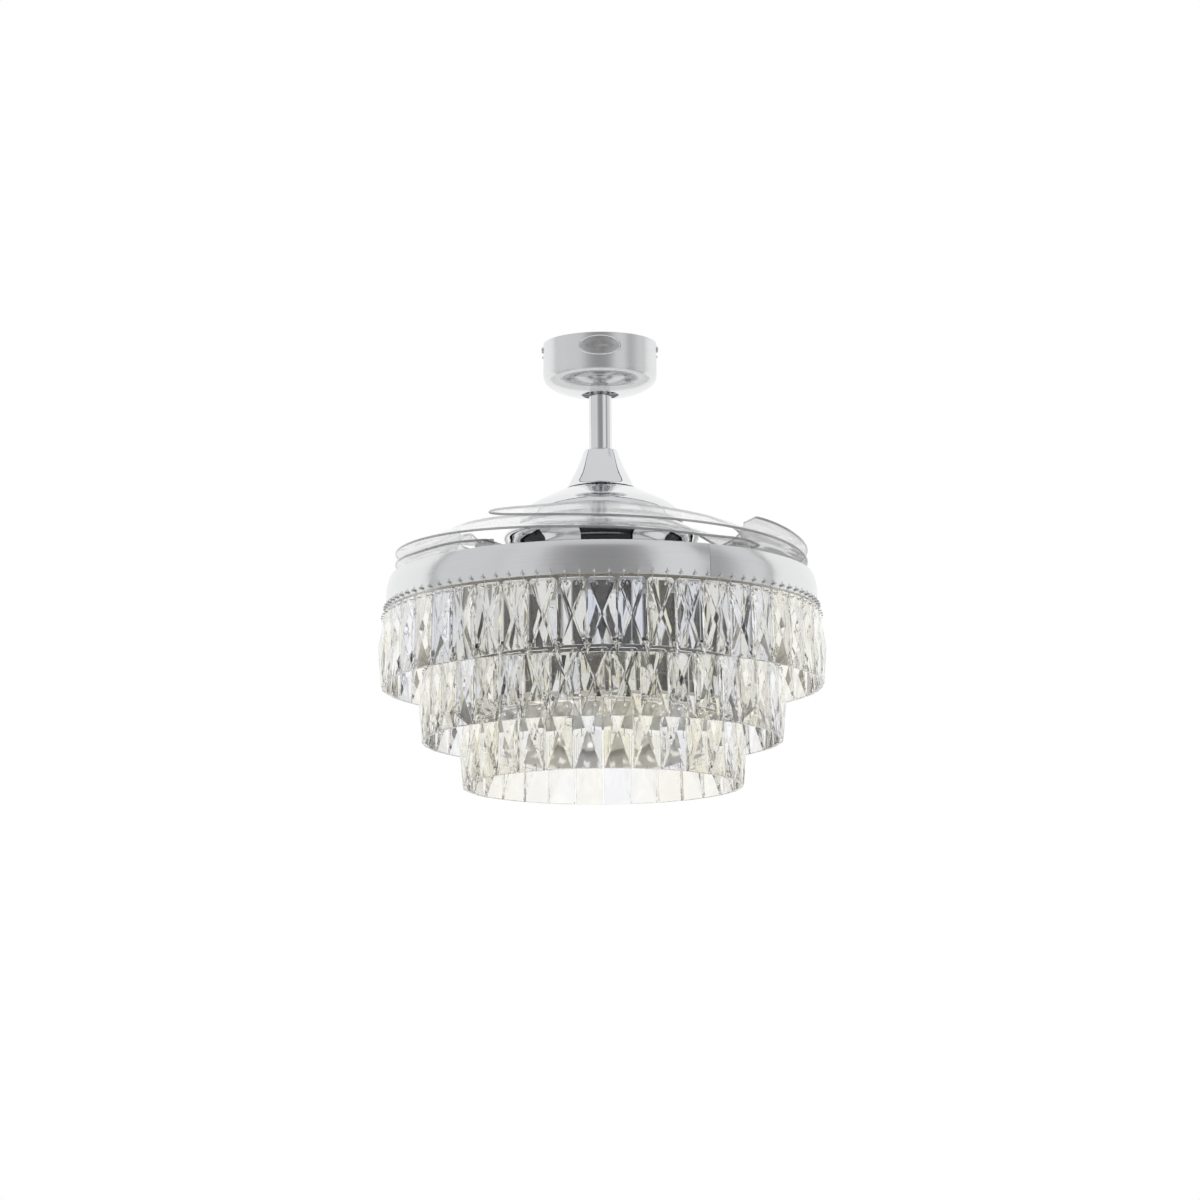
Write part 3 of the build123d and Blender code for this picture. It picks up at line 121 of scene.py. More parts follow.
class Wire:
    """A node's output socket, or a number, that takes part in plain arithmetic."""

    def __init__(self, tree, socket):
        self.tree = tree
        self.socket = socket

    def join(self, operation, *others, swapped=False):
        """Add one Math node that works on this wire and the others."""
        node = self.tree.nodes.new("ShaderNodeMath")
        node.operation = operation
        terms = (*others, self) if swapped else (self, *others)
        for place, term in zip(node.inputs, terms):
            plug(self.tree, place, term)
        return Wire(self.tree, node.outputs[0])

    def __add__(self, other):
        return self.join("ADD", other)

    def __radd__(self, other):
        return self.join("ADD", other, swapped=True)

    def __sub__(self, other):
        return self.join("SUBTRACT", other)

    def __rsub__(self, other):
        return self.join("SUBTRACT", other, swapped=True)

    def __mul__(self, other):
        return self.join("MULTIPLY", other)

    def __rmul__(self, other):
        return self.join("MULTIPLY", other, swapped=True)

    def __truediv__(self, other):
        return self.join("DIVIDE", other)

    def __rtruediv__(self, other):
        return self.join("DIVIDE", other, swapped=True)

    def __pow__(self, other):
        return self.join("POWER", other)

    def size(self):
        """The value without its sign."""
        return self.join("ABSOLUTE")

    def sine(self):
        """The sine of the value."""
        return self.join("SINE")

    def clear_of(self, low, high):
        """0 below low, 1 above high, and a smooth rise between them."""
        node = self.tree.nodes.new("ShaderNodeMapRange")
        node.interpolation_type = "SMOOTHSTEP"
        plug(self.tree, node.inputs[0], self)
        plug(self.tree, node.inputs[1], low)
        plug(self.tree, node.inputs[2], high)
        return Wire(self.tree, node.outputs[0])

    def near(self, middle, inner, outer):
        """1 within inner of a middle value, 0 beyond outer, and a smooth fall between them."""
        return 1.0 - (self - middle).size().clear_of(inner, outer)


def plug(tree, place, term):
    """Set a socket from a wire, another socket, a number or a tuple."""
    source = term.socket if isinstance(term, Wire) else term
    if isinstance(source, bpy.types.NodeSocket):
        tree.links.new(source, place)
    else:
        place.default_value = source


class Nodes:
    """Makes nodes in one tree: settings first, then the values or wires of its sockets."""

    def __init__(self, tree):
        self.tree = tree
        tree.nodes.clear()

    def add(self, kind, settings=None, sockets=None):
        """Add a node."""
        node = self.tree.nodes.new(kind)
        for name, value in (settings or {}).items():
            if name == "stops":
                ramp = node.color_ramp
                while len(ramp.elements) < len(value):
                    ramp.elements.new(1.0)
                for stop, (place, colour) in zip(ramp.elements, value):
                    stop.position = place
                    stop.color = colour
            else:
                setattr(node, name, value)
        for name, value in (sockets or {}).items():
            plug(self.tree, node.inputs[name], value)
        return node

    def make(self, kind, settings=None, sockets=None, output=0):
        """Add a node and give back one of its outputs as a wire."""
        return Wire(self.tree, self.add(kind, settings, sockets).outputs[output])

    def blend(self, share, first, second):
        """Mix two colours."""
        return self.make(
            "ShaderNodeMix",
            {"data_type": "RGBA"},
            {0: share, 6: first, 7: second},
            output=2,
        )

    def parts_of(self, vector):
        """X, Y and Z of a vector as three wires."""
        split = self.add("ShaderNodeSeparateXYZ", None, {0: vector})
        return [Wire(self.tree, out) for out in split.outputs]


def rgb(*parts):
    """A colour with full alpha."""
    return (*parts, 1.0)


def shade(colour, share=1.0):
    """A colour with full alpha, darkened to a share of itself."""
    return rgb(*(part * share for part in colour))


class Finish(Nodes):
    """A material with a Principled surface, worked out on Object coordinates."""

    def __init__(self, name):
        self.material = bpy.data.materials.new(name)
        self.material.use_nodes = True
        super().__init__(self.material.node_tree)
        self.place = self.make("ShaderNodeTexCoord", output=3)

    def axes(self):
        """Object X, Y and Z as three wires."""
        return self.parts_of(self.place)

    def noise(self, scale, detail=3.0, along=None, rough=0.5):
        """Soft noise from 0 to 1."""
        where = self.place
        if along:
            where = self.make("ShaderNodeMapping", None, {"Vector": self.place, "Scale": along})
        return self.make(
            "ShaderNodeTexNoise",
            None,
            {"Vector": where, "Scale": scale, "Detail": detail, "Roughness": rough},
        )

    def cells(self, scale, feature="F1"):
        """The distance to the middle of the nearest cell, or to another feature of it."""
        sockets = {"Vector": self.place, "Scale": scale}
        return self.make("ShaderNodeTexVoronoi", {"feature": feature}, sockets)

    def bump(self, height, strength, distance):
        """A Bump node."""
        sockets = {"Height": height, "Strength": strength, "Distance": distance}
        return self.make("ShaderNodeBump", None, sockets)

    def surface(self, **sockets):
        """The Principled surface and the material's output."""
        named = {name.replace("_", " "): value for name, value in sockets.items()}
        shader = self.make("ShaderNodeBsdfPrincipled", None, named)
        self.add("ShaderNodeOutputMaterial", None, {"Surface": shader})
        return self.material


# Finishes

CHROME = (0.80, 0.805, 0.81)
ZINC = (0.56, 0.565, 0.57)


def polished_chrome(name="polished_chrome", colour=(0.83, 0.835, 0.845), base_rough=0.035):
    """Mirror chrome with faint wipe marks."""
    f = Finish(name)
    haze = f.noise(9.0, 4.0)
    wipes = f.noise(60.0, 5.0, along=(1.0, 1.0, 6.0))
    rough = base_rough + haze.clear_of(0.4, 0.75) * 0.03 + wipes.clear_of(0.55, 0.8) * 0.02
    tone = f.blend(haze.clear_of(0.35, 0.7), shade(colour), shade(colour, 0.95))
    ripple = f.noise(16.0, 1.0)
    return f.surface(
        Base_Color=tone,
        Metallic=1.0,
        Roughness=rough,
        Normal=f.bump(ripple, 0.12, 0.0006),
    )


def band_chrome():
    """Brushed and lightly polished chrome, its grain stretched round the band."""
    f = Finish("band_chrome")
    grain = f.noise(1.0, 4.0, along=(18.0, 18.0, 2200.0), rough=0.65)
    cloud = f.noise(14.0, 3.0)
    return f.surface(
        Base_Color=f.blend(grain.clear_of(0.3, 0.7), shade(CHROME, 0.94), shade(CHROME)),
        Metallic=1.0,
        Roughness=0.15 + 0.1 * (grain * 0.6 + cloud * 0.4),
        Normal=f.bump(grain, 0.10, 0.00006),
    )


def canopy_chrome():
    """Chrome that is softly brushed round the canopy's side and bright in its bowl."""
    f = Finish("canopy_chrome")
    grain = f.noise(1.0, 4.0, along=(30.0, 30.0, 2600.0), rough=0.65)
    bowl_z, side_z = -50.0 * MM, -38.0 * MM
    side = f.axes()[2].clear_of(bowl_z, side_z)
    return f.surface(
        Base_Color=f.blend(grain.clear_of(0.3, 0.7), shade(CHROME, 0.94), shade(CHROME)),
        Metallic=1.0,
        Roughness=0.10 + side * 0.18 + grain * 0.06,
        Normal=f.bump(grain, 0.08, 0.00006),
    )


def stippled_chrome():
    """Darker plated field with a fine struck grain."""
    f = Finish("stippled_chrome")
    dots = f.cells(1100.0)
    cloud = f.noise(160.0, 3.0)
    return f.surface(
        Base_Color=f.blend(cloud, rgb(0.46, 0.46, 0.465), rgb(0.70, 0.70, 0.705)),
        Metallic=1.0,
        Roughness=0.24 + cloud * 0.1,
        Normal=f.bump(dots, 0.7, 0.00025),
    )


def plated_steel():
    """Plain zinc plate with its mottled spangle."""
    f = Finish("zinc_plated_steel")
    spangle = f.cells(260.0)
    fine = f.noise(900.0, 3.0)
    return f.surface(
        Base_Color=f.blend(spangle.clear_of(0.1, 0.6), shade(ZINC), shade(ZINC, 0.82)),
        Metallic=1.0,
        Roughness=0.26 + fine * 0.12,
        Normal=f.bump(fine, 0.08, 0.00008),
    )


def pan_with_painted_shade_top(top_z):
    """Gloss black on the pan's upper face, painted shade for the shaded inside of the drum; warm
    stone-coloured paint below it.
    """
    f = Finish("pan_paint")
    peel = f.noise(420.0, 2.0)
    dust = f.noise(35.0, 5.0)
    # painted shade: black above the height of the pan's upper face, stone paint below
    upper = f.axes()[2].clear_of(top_z - 0.4 * MM, top_z - 0.2 * MM)
    stone = f.blend(dust, rgb(0.76, 0.72, 0.62), rgb(0.82, 0.79, 0.70))
    return f.surface(
        Base_Color=f.blend(upper, stone, rgb(0.012, 0.012, 0.013)),
        Roughness=0.14 + dust * 0.08,
        Normal=f.bump(peel, 0.06, 0.0001),
    )


def clear_acrylic():
    """Formed clear sheet with faint handling marks; its white film, thin face on and stronger at a slant, is
    painted reflection.
    """
    f = Finish("clear_acrylic")
    marks = f.noise(26.0, 5.0, along=(1.0, 1.0, 3.0), rough=0.6).clear_of(0.58, 0.85)
    wave = f.noise(11.0, 1.0)
    # painted reflection: the white film is thin face on and grows more opaque at a slant, standing in for
    # the sheet's sheen
    painted_sheen_slant = f.make("ShaderNodeLayerWeight", None, {"Blend": 0.5}, output=1)
    painted_film_face_on, painted_sheen_at_slant, more_in_marks = 0.14, 0.5, 0.05
    return f.surface(
        Base_Color=f.blend(wave, rgb(0.86, 0.865, 0.87), rgb(0.78, 0.79, 0.80)),
        Roughness=0.03 + marks * 0.06,
        IOR=1.49,
        Specular_IOR_Level=1.0,
        Coat_Weight=1.0,
        Coat_Roughness=0.02,
        Alpha=painted_film_face_on + painted_sheen_slant**3.0 * painted_sheen_at_slant + marks * more_in_marks,
    )


def acrylic_edge():
    """Flame-polished edge of the clear sheet, painted grey: painted shade for the light that runs in the
    sheet and the dark refraction at its round edge.
    """
    f = Finish("acrylic_edge")
    cloud = f.noise(30.0, 3.0)
    return f.surface(
        Base_Color=f.blend(cloud, rgb(0.05, 0.052, 0.055), rgb(0.24, 0.245, 0.25)),
        Roughness=0.06,
        IOR=1.49,
        Coat_Weight=1.0,
        Coat_Roughness=0.02,
        Alpha=0.82,
    )


def cut_crystal():
    """Cut glass, each piece with its own faint tint."""
    f = Finish("cut_crystal")
    tint = f.make("ShaderNodeAttribute", {"attribute_name": "tint"}, output=2)
    tone = f.make(
        "ShaderNodeValToRGB",
        {
            "stops": (
                (0.0, rgb(0.935, 0.945, 0.985)),
                (0.35, rgb(0.975, 0.975, 0.975)),
                (0.65, rgb(0.985, 0.975, 0.925)),
                (1.0, rgb(0.955, 0.94, 0.875)),
            )
        },
        {"Fac": tint},
    )
    return f.surface(
        Base_Color=tone,
        Roughness=0.0,
        IOR=1.57,
        Transmission_Weight=1.0,
    )


def carrier_plate():
    """Bright plate, gloss black round the motor: painted shade, a dark sheet for the shaded inside of the
    drum.
    """
    f = Finish("carrier_plate")
    painted_shade_r, blur = 100.0 * MM, 0.2 * MM
    peel = f.noise(420.0, 2.0)
    dust = f.noise(35.0, 5.0)
    x, y, z = f.axes()
    # painted shade: black within this radius, bright metal beyond it
    outer = ((x * x + y * y) ** 0.5).clear_of(painted_shade_r - blur, painted_shade_r + blur)
    return f.surface(
        Base_Color=f.blend(outer, rgb(0.015, 0.015, 0.016), rgb(0.82, 0.82, 0.825)),
        Metallic=outer,
        Roughness=0.10 + dust * 0.08,
        Normal=f.bump(peel, 0.06, 0.0001),
    )


def moulded_plastic(name, colour):
    """Moulded plastic with a fine spark-eroded grain."""
    f = Finish(name)
    grain = f.noise(1500.0, 2.0)
    cloud = f.noise(40.0, 3.0)
    return f.surface(
        Base_Color=f.blend(cloud, shade(colour, 0.9), shade(colour)),
        Roughness=0.42 + grain * 0.12,
        Normal=f.bump(grain, 0.15, 0.00005),
    )


def enamelled_copper():
    """Varnished copper wire laid in close turns."""
    f = Finish("enamelled_copper")
    turns_wave = 5200.0
    turns = ((f.axes()[2] * turns_wave).sine() * 0.5 + 0.5) ** 0.6
    mottle = f.noise(220.0, 3.0)
    tone = f.blend(mottle, rgb(0.42, 0.14, 0.045), rgb(0.66, 0.27, 0.09))
    return f.surface(
        Base_Color=tone,
        Metallic=0.85,
        Roughness=0.24 + mottle * 0.15,
        Normal=f.bump(turns, 0.6, 0.0003),
    )


def laminated_steel():
    """Stacked electrical steel, its sheets showing as lines."""
    f = Finish("laminated_steel")
    sheets_wave = 12566.0
    sheets = (f.axes()[2] * sheets_wave).sine() * 0.5 + 0.5
    stain = f.noise(90.0, 4.0)
    tone = f.blend(stain, rgb(0.12, 0.125, 0.13), rgb(0.26, 0.26, 0.27))
    return f.surface(
        Base_Color=tone,
        Metallic=0.8,
        Roughness=0.4 + stain * 0.15,
        Normal=f.bump(sheets, 0.4, 0.0001),
    )


def opal_plastic():
    """Milky diffuser sheet with a painted glow of the light points behind it, in two rows, and a faint warm
    painted glow all over.
    """
    f = Finish("opal_plastic")
    cloud = f.noise(12.0, 2.0)
    grain = f.noise(1200.0, 2.0)
    lights_in_row, row_rs = 24.0, (80.0 * MM, 114.0 * MM)
    x, y, z = f.axes()
    out = (x * x + y * y) ** 0.5
    points = (y.join("ARCTAN2", x) * lights_in_row).sine().clear_of(-0.1, 0.7)
    inner, outer = (out.near(row_r, 7.0 * MM, 14.0 * MM) for row_r in row_rs)
    # painted glow: bright light points in two rows
    painted_glow = points * inner.join("MAXIMUM", outer)
    return f.surface(
        Base_Color=f.blend(cloud, rgb(0.90, 0.88, 0.82), rgb(0.93, 0.915, 0.865)),
        # painted glow: a faint warm glow everywhere, bright at the light points
        Emission_Color=f.blend(painted_glow, rgb(0.10, 0.085, 0.06), rgb(1.0, 0.95, 0.86)),
        Emission_Strength=0.9,
        Roughness=0.32 + grain * 0.08,
        Normal=f.bump(grain, 0.08, 0.00005),
        Coat_Weight=0.15,
    )


def white_board():
    """White solder mask with the round edges of the copper under it."""
    f = Finish("white_board")
    edge = f.cells(120.0, "DISTANCE_TO_EDGE").clear_of(0.02, 0.06)
    return f.surface(
        Base_Color=f.blend(edge, rgb(0.72, 0.72, 0.69), rgb(0.82, 0.82, 0.79)),
        Roughness=0.35 + edge * 0.1,
        Normal=f.bump(edge, 0.3, 0.0001),
    )


# Mesh helpers


def finish_node(material, *names):
    """Give CAD nodes a finish."""
    for name in names:
        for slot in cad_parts[name].material_slots:
            slot.material = material


def piece_from(bm, name, material, smooth_angle=None):
    """A new object from a bmesh, with its place in its mesh."""
    mesh = bpy.data.meshes.new(name)
    bm.to_mesh(mesh)
    bm.free()
    piece = bpy.data.objects.new(name, mesh)
    bpy.context.scene.collection.objects.link(piece)
    if material is not None:
        mesh.materials.append(material)
    if smooth_angle is not None:
        mesh.shade_smooth()
        mesh.set_sharp_from_angle(angle=math.radians(smooth_angle))
    return piece


def applied(piece):
    """Turn a piece's modifiers into plain mesh."""
    bpy.context.view_layer.update()
    seen = piece.evaluated_get(bpy.context.evaluated_depsgraph_get())
    mesh = bpy.data.meshes.new_from_object(seen)
    piece.modifiers.clear()
    piece.data = mesh
    return piece


def pairs(loop):
    """Each item of a closed loop with the one after it."""
    return zip(loop, [*loop[1:], *loop[:1]])


def trios(loop):
    """Each item of a closed loop between its two neighbours."""
    return zip([*loop[-1:], *loop[:-1]], loop, [*loop[1:], *loop[:1]])


def wall(bm, first, second, slot=0):
    """Faces between two closed loops of corners."""
    for (a, b), (c, d) in zip(pairs(first), pairs(second)):
        bm.faces.new((a, b, d, c)).material_index = slot


def in_use(sockets, name):
    """The socket of that name that the node's data type leaves in use."""
    return next(socket for socket in sockets if socket.name == name and socket.enabled)


class GeometryTree(Nodes):
    """A Geometry Nodes tree with named inputs, run once on one object."""

    def __init__(self, name):
        super().__init__(bpy.data.node_groups.new(name, "GeometryNodeTree"))
        self.inputs = {}
        face = self.tree.interface
        face.new_socket("Geometry", in_out="INPUT", socket_type="NodeSocketGeometry")
        face.new_socket("Geometry", in_out="OUTPUT", socket_type="NodeSocketGeometry")
        self.start = self.tree.nodes.new("NodeGroupInput")
        self.end = self.tree.nodes.new("NodeGroupOutput")

    def ask(self, name, kind, value=None):
        """A named input of the tree, as a wire."""
        socket = self.tree.interface.new_socket(name, in_out="INPUT", socket_type=kind)
        if value is not None:
            socket.default_value = value
        self.inputs[name] = socket.identifier
        return Wire(self.tree, self.start.outputs[name])

    def vector(self, *parts):
        """A vector from its three parts."""
        return self.make("ShaderNodeCombineXYZ", None, dict(enumerate(parts)))

    def chance(self, low, high, seed):
        """A random number between two others, drawn once for each point or copy."""
        node = self.add("FunctionNodeRandomValue", {"data_type": "FLOAT"}, {"Seed": seed})
        plug(self.tree, in_use(node.inputs, "Min"), low)
        plug(self.tree, in_use(node.inputs, "Max"), high)
        return Wire(self.tree, in_use(node.outputs, "Value"))

    def run(self, piece, **values):
        """Put the tree on a piece, set its inputs by identifier and make the result plain."""
        modifier = piece.modifiers.new(self.tree.name, "NODES")
        modifier.node_group = self.tree
        for name, value in values.items():
            modifier[self.inputs[name]] = value
        return applied(piece)


def ring_tree():
    """Copies of a piece round the fan's axis, each with a small random turn and tint."""
    g = GeometryTree("ring_of_pieces")
    count = g.ask("Count", "NodeSocketInt")
    radius, height, twist, tilt = (
        g.ask(name, "NodeSocketFloat") for name in ("Radius", "Height", "Twist", "Tilt")
    )
    seed = g.ask("Seed", "NodeSocketInt", 1)
    finish = g.ask("Finish", "NodeSocketMaterial")
    points = g.make("GeometryNodePoints", None, {"Count": count})
    angle = g.make("GeometryNodeInputIndex") * math.tau / count
    spot = g.vector(angle.join("COSINE") * radius, angle.join("SINE") * radius, height)
    placed = g.make("GeometryNodeSetPosition", None, {"Geometry": points, "Position": spot})
    turn = g.vector(
        g.chance(tilt * -1.0, tilt, seed + 11),
        g.chance(tilt * -1.0, tilt, seed + 23),
        angle + g.chance(twist * -1.0, twist, seed + 37),
    )
    copies = g.make(
        "GeometryNodeInstanceOnPoints",
        None,
        {"Points": placed, "Instance": g.start.outputs["Geometry"], "Rotation": turn},
    )
    tinted = g.add(
        "GeometryNodeStoreNamedAttribute",
        {"data_type": "FLOAT", "domain": "INSTANCE"},
        {"Geometry": copies, "Name": "tint"},
    )
    plug(g.tree, in_use(tinted.inputs, "Value"), g.chance(0.0, 1.0, seed + 51))
    real = g.make("GeometryNodeRealizeInstances", None, {"Geometry": tinted.outputs[0]})
    dressed = g.make("GeometryNodeSetMaterial", None, {"Geometry": real, "Material": finish})
    plug(g.tree, g.end.inputs[0], dressed)
    return g


# Settings


def metres(name, description, value):
    """A length given in metres."""
    return bpy.props.FloatProperty(name=name, description=description, default=value, unit="LENGTH")


def millimetres(name, description, value):
    """A length given in millimetres."""
    return metres(name, description, value * MM)


def degrees(name, description, value):
    """An angle given in degrees."""
    return bpy.props.FloatProperty(
        name=name, description=description, default=math.radians(value), subtype="ANGLE"
    )


def whole(name, description, value):
    """A whole number."""
    return bpy.props.IntProperty(name=name, description=description, default=value)


class FanBadgeSettings(bpy.types.PropertyGroup):
    """Sizes of the oval plate on the canopy."""

    border_rise: millimetres("Border", "Height of the border over the canopy", 1.6)
    field_rise: millimetres("Field", "Height of the field over the canopy", 0.8)
    border_width: millimetres("Border width", "Width of the double border", 2.6)
    steps: whole("Steps", "Points round the oval", 96)


class FanBladeSettings(bpy.types.PropertyGroup):
    """Sizes of the clear blades."""

    thickness: millimetres("Thickness", "Thickness of the clear sheet", 2.8)
    edge_step: millimetres("Edge step", "Spacing of the points round the edge", 4.0)
    hole_step: millimetres("Bore step", "Spacing of the points round a bore", 1.2)
    face_step: millimetres("Face step", "Spacing of the points over the faces", 9.0)
    rim_steps: whole("Rim steps", "Facets round the half-round edge", 6)
    smoothing: whole("Smoothing", "Rounds of smoothing over the faces", 6)


class FanCrystalSettings(bpy.types.PropertyGroup):
    """Sizes of the cut crystals."""

    width: millimetres("Width", "Width of one crystal", 31.2)
    height: millimetres("Height", "Height of one crystal", 84.2)
    edge_half: millimetres("Half edge", "Half the thickness at the rim", 2.2)
    apex_half: millimetres("Half middle", "Half the thickness at the middle", 7.5)
    corner: millimetres("Corner", "Size of the clipped upper corners", 3.0)
    arris: millimetres("Arris", "Width of the ground edge between facets", 0.28)
    hole_r: millimetres("Hole", "Radius of the two drilled holes", 1.8)
    hole_inset: millimetres("Hole inset", "Hole centre from the side", 7.3)
    hole_drop: millimetres("Hole drop", "Hole centre from the top", 4.6)
    hang_out: millimetres("Hang out", "Middle of a crystal outside its ring", 1.0)
    lean: degrees("Lean", "Lean of a crystal, its foot outward", 1.8)
    twist: degrees("Twist", "Most that a hanging crystal is turned", 1.5)
    tilt: degrees("Tilt", "Most that a hanging crystal leans", 0.3)
    seed: whole("Seed", "Seed of the random turns and tints", 7)


class FanPinSettings(bpy.types.PropertyGroup):
    """Sizes of the bent pins that carry the crystals."""

    wire_r: millimetres("Wire", "Radius of the wire", 0.5)
    rise: millimetres("Rise", "Shank above the ring's lower edge", 2.7)
    spike: millimetres("Spike", "Spike above the shank, outside the ring", 5.0)
    spike_out: millimetres("Spike out", "Spike outside the ring's face", 0.8)
    leg_in: millimetres("Leg in", "Leg inside the ring's face", 3.6)
    drop: millimetres("Drop", "Hook below the ring's lower edge", 8.0)
    reach: millimetres("Reach", "Front end of the hook outside the ring's face", 5.4)
    bend: millimetres("Bend", "Radius of the bends", 0.9)
    ball_r: millimetres("Ball", "Radius of the ball outside the ring", 1.9)
    ball_out: millimetres("Ball out", "Ball centre outside the ring's face", 2.0)
    bead_r: millimetres("Bead", "Radius of the bead in front of the crystal", 1.1)


class FanStudioSettings(bpy.types.PropertyGroup):
    """Camera, backdrop and floor."""

    camera_distance: metres("Camera distance", "From the fan's axis", 5.0114)
    camera_drop: metres("Camera drop", "Camera below the ceiling", 1.18407)
    camera_side: metres("Camera side", "Camera to the right of the fan's axis", -0.0021)
    camera_pitch: degrees("Camera pitch", "Upward tilt", 9.966)
    camera_roll: degrees("Camera roll", "Roll of the picture", -0.45)
    lens: bpy.props.FloatProperty(name="Lens", description="Focal length in millimetres", default=131.637)
    floor_drop: metres("Floor", "Floor below the ceiling", 2.9)
    backdrop: bpy.props.FloatVectorProperty(
        name="Backdrop", description="Colour behind the fan", default=(1.0, 1.0, 1.0), subtype="COLOR"
    )


# Operators


class FAN_OT_metalwork(bpy.types.Operator):
    """Finish the plated, painted and moulded pieces that keep their CAD shape"""

    bl_idname = "fan.metalwork"
    bl_label = "Metalwork"

    def execute(self, context):
        """Give every kept node its finish."""
        finish_node(polished_chrome(), *MIRROR_NODES)
        finish_node(canopy_chrome(), "canopy", "canopy_screws")
        finish_node(band_chrome(), "drum_band")
        finish_node(plated_steel(), *STEEL_NODES)
        finish_node(carrier_plate(), "blade_carrier")
        finish_node(pan_with_painted_shade_top(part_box("light_pan")[1].z), "light_pan")
        finish_node(laminated_steel(), "stator_core")
        finish_node(enamelled_copper(), "stator_windings")
        finish_node(moulded_plastic("black_plastic", (0.03, 0.03, 0.032)), *BLACK_PLASTIC_NODES)
        finish_node(moulded_plastic("natural_plastic", (0.72, 0.72, 0.7)), *PALE_PLASTIC_NODES)
        finish_node(white_board(), "led_board")
        finish_node(opal_plastic(), "light_diffuser")
        return {"FINISHED"}


class FAN_OT_badge(bpy.types.Operator):
    """Blank oval plate with a rounded double border"""

    bl_idname = "fan.badge"
    bl_label = "Badge"

    def execute(self, context):
        """Wrap the oval round the canopy, ring by ring from its edge to its middle."""
        sizes = context.scene.fan_badge
        low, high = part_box("canopy_badge")
        canopy_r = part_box("canopy")[1].x
        half_w, half_h = (high.x - low.x) / 2, (high.z - low.z) / 2
        middle_z = (high.z + low.z) / 2
        top, field, width = sizes.border_rise, sizes.field_rise, sizes.border_width
        border = (
            (0.0, 0.0),
            (0.0, 0.6 * top),
            (0.15 * width, 0.9 * top),
            (0.35 * width, top),
            (0.55 * width, 0.85 * top),
            (0.68 * width, field),
            (0.80 * width, field),
            (0.90 * width, 0.75 * top),
            (1.02 * width, 0.75 * top),
            (1.15 * width, field),
        )
        bm = bmesh.new()
        loops = []
        for inset, rise in (*border, (0.55 * half_h, field), (0.8 * half_h, field)):
            loop = []
            for step in range(sizes.steps):
                angle = math.tau * step / sizes.steps
                x = (half_w - inset) * math.cos(angle)
                y = -math.sqrt((canopy_r + rise) ** 2 - x * x)
                loop.append(bm.verts.new((x, y, middle_z + (half_h - inset) * math.sin(angle))))
            loops.append(loop)
        for place, (outer, inner) in enumerate(zip(loops, loops[1:])):
            wall(bm, outer, inner, 0 if place < len(border) - 1 else 1)
        centre = bm.faces.new(loops[-1])
        centre.material_index = 1
        bm.faces.new(list(reversed(loops[0])))
        bmesh.ops.recalc_face_normals(bm, faces=bm.faces)
        plate = piece_from(bm, "oval_plate", polished_chrome("badge_border", base_rough=0.08), 40)
        plate.data.materials.append(stippled_chrome())
        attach(plate, "ceiling_mount")
        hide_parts("canopy_badge")
        return {"FINISHED"}


def flat(point):
    """A point without its height."""
    return Vector((point[0], point[1]))


class CadSheet:
    """The CAD solid of one blade, asked for its outline, its holes and its height."""

    def __init__(self, node):
        self.bm = bmesh.new()
        self.bm.from_mesh(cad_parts[node].data)
        seam, headroom = 0.002 * MM, 10 * MM
        bmesh.ops.remove_doubles(self.bm, verts=self.bm.verts, dist=seam)
        self.tree = BVHTree.FromBMesh(self.bm)
        self.top = max(v.co.z for v in self.bm.verts) + headroom

    def loops(self):
        """Closed loops of points where the upper face ends, the longest first."""
        beside = {}
        for edge in self.bm.edges:
            upper = [face.normal.z > 0.5 for face in edge.link_faces]
            if upper.count(True) == 1:
                a, b = edge.verts
                beside.setdefault(a, []).append(b)
                beside.setdefault(b, []).append(a)
        found = []
        while beside:
            first = next(iter(beside))
            loop = [first]
            here = first
            while here in beside:
                ahead = [v for v in beside.pop(here) if v in beside]
                if not ahead:
                    break
                here = ahead[0]
                loop.append(here)
            found.append([flat(v.co) for v in loop])
        return sorted(found, key=len_round, reverse=True)

    def middle(self, spot, thickness):
        """The height of the sheet's middle surface under a flat spot."""
        above = Vector((spot.x, spot.y, self.top))
        hit, normal, index, far = self.tree.ray_cast(above, Vector((0, 0, -1)))
        if hit is None:
            hit, normal, index, far = self.tree.find_nearest(above)
        return hit.z - thickness / 2 / max(normal.z, 0.5)


def len_round(loop):
    """The length of a closed loop."""
    return sum((a - b).length for a, b in pairs(loop))


def evenly(loop, step):
    """Points of a closed loop at an even spacing, counterclockwise."""
    if sum(a.x * b.y - b.x * a.y for a, b in pairs(loop)) < 0:
        loop = loop[::-1]
    total = len_round(loop)
    count = max(8, round(total / step))
    spots = []
    run = 0.0
    place = 0
    for k in range(count):
        want = total * k / count
        while True:
            a, b = loop[place % len(loop)], loop[(place + 1) % len(loop)]
            span = (b - a).length
            if run + span >= want or place > 2 * len(loop):
                break
            run += span
            place += 1
        spots.append(a.lerp(b, (want - run) / span if span else 0.0))
    return spots


def within(spot, loop):
    """Whether a flat spot lies inside a closed loop."""
    inside = False
    for a, b in pairs(loop):
        if (a.y > spot.y) != (b.y > spot.y):
            if spot.x < a.x + (spot.y - a.y) * (b.x - a.x) / (b.y - a.y):
                inside = not inside
    return inside


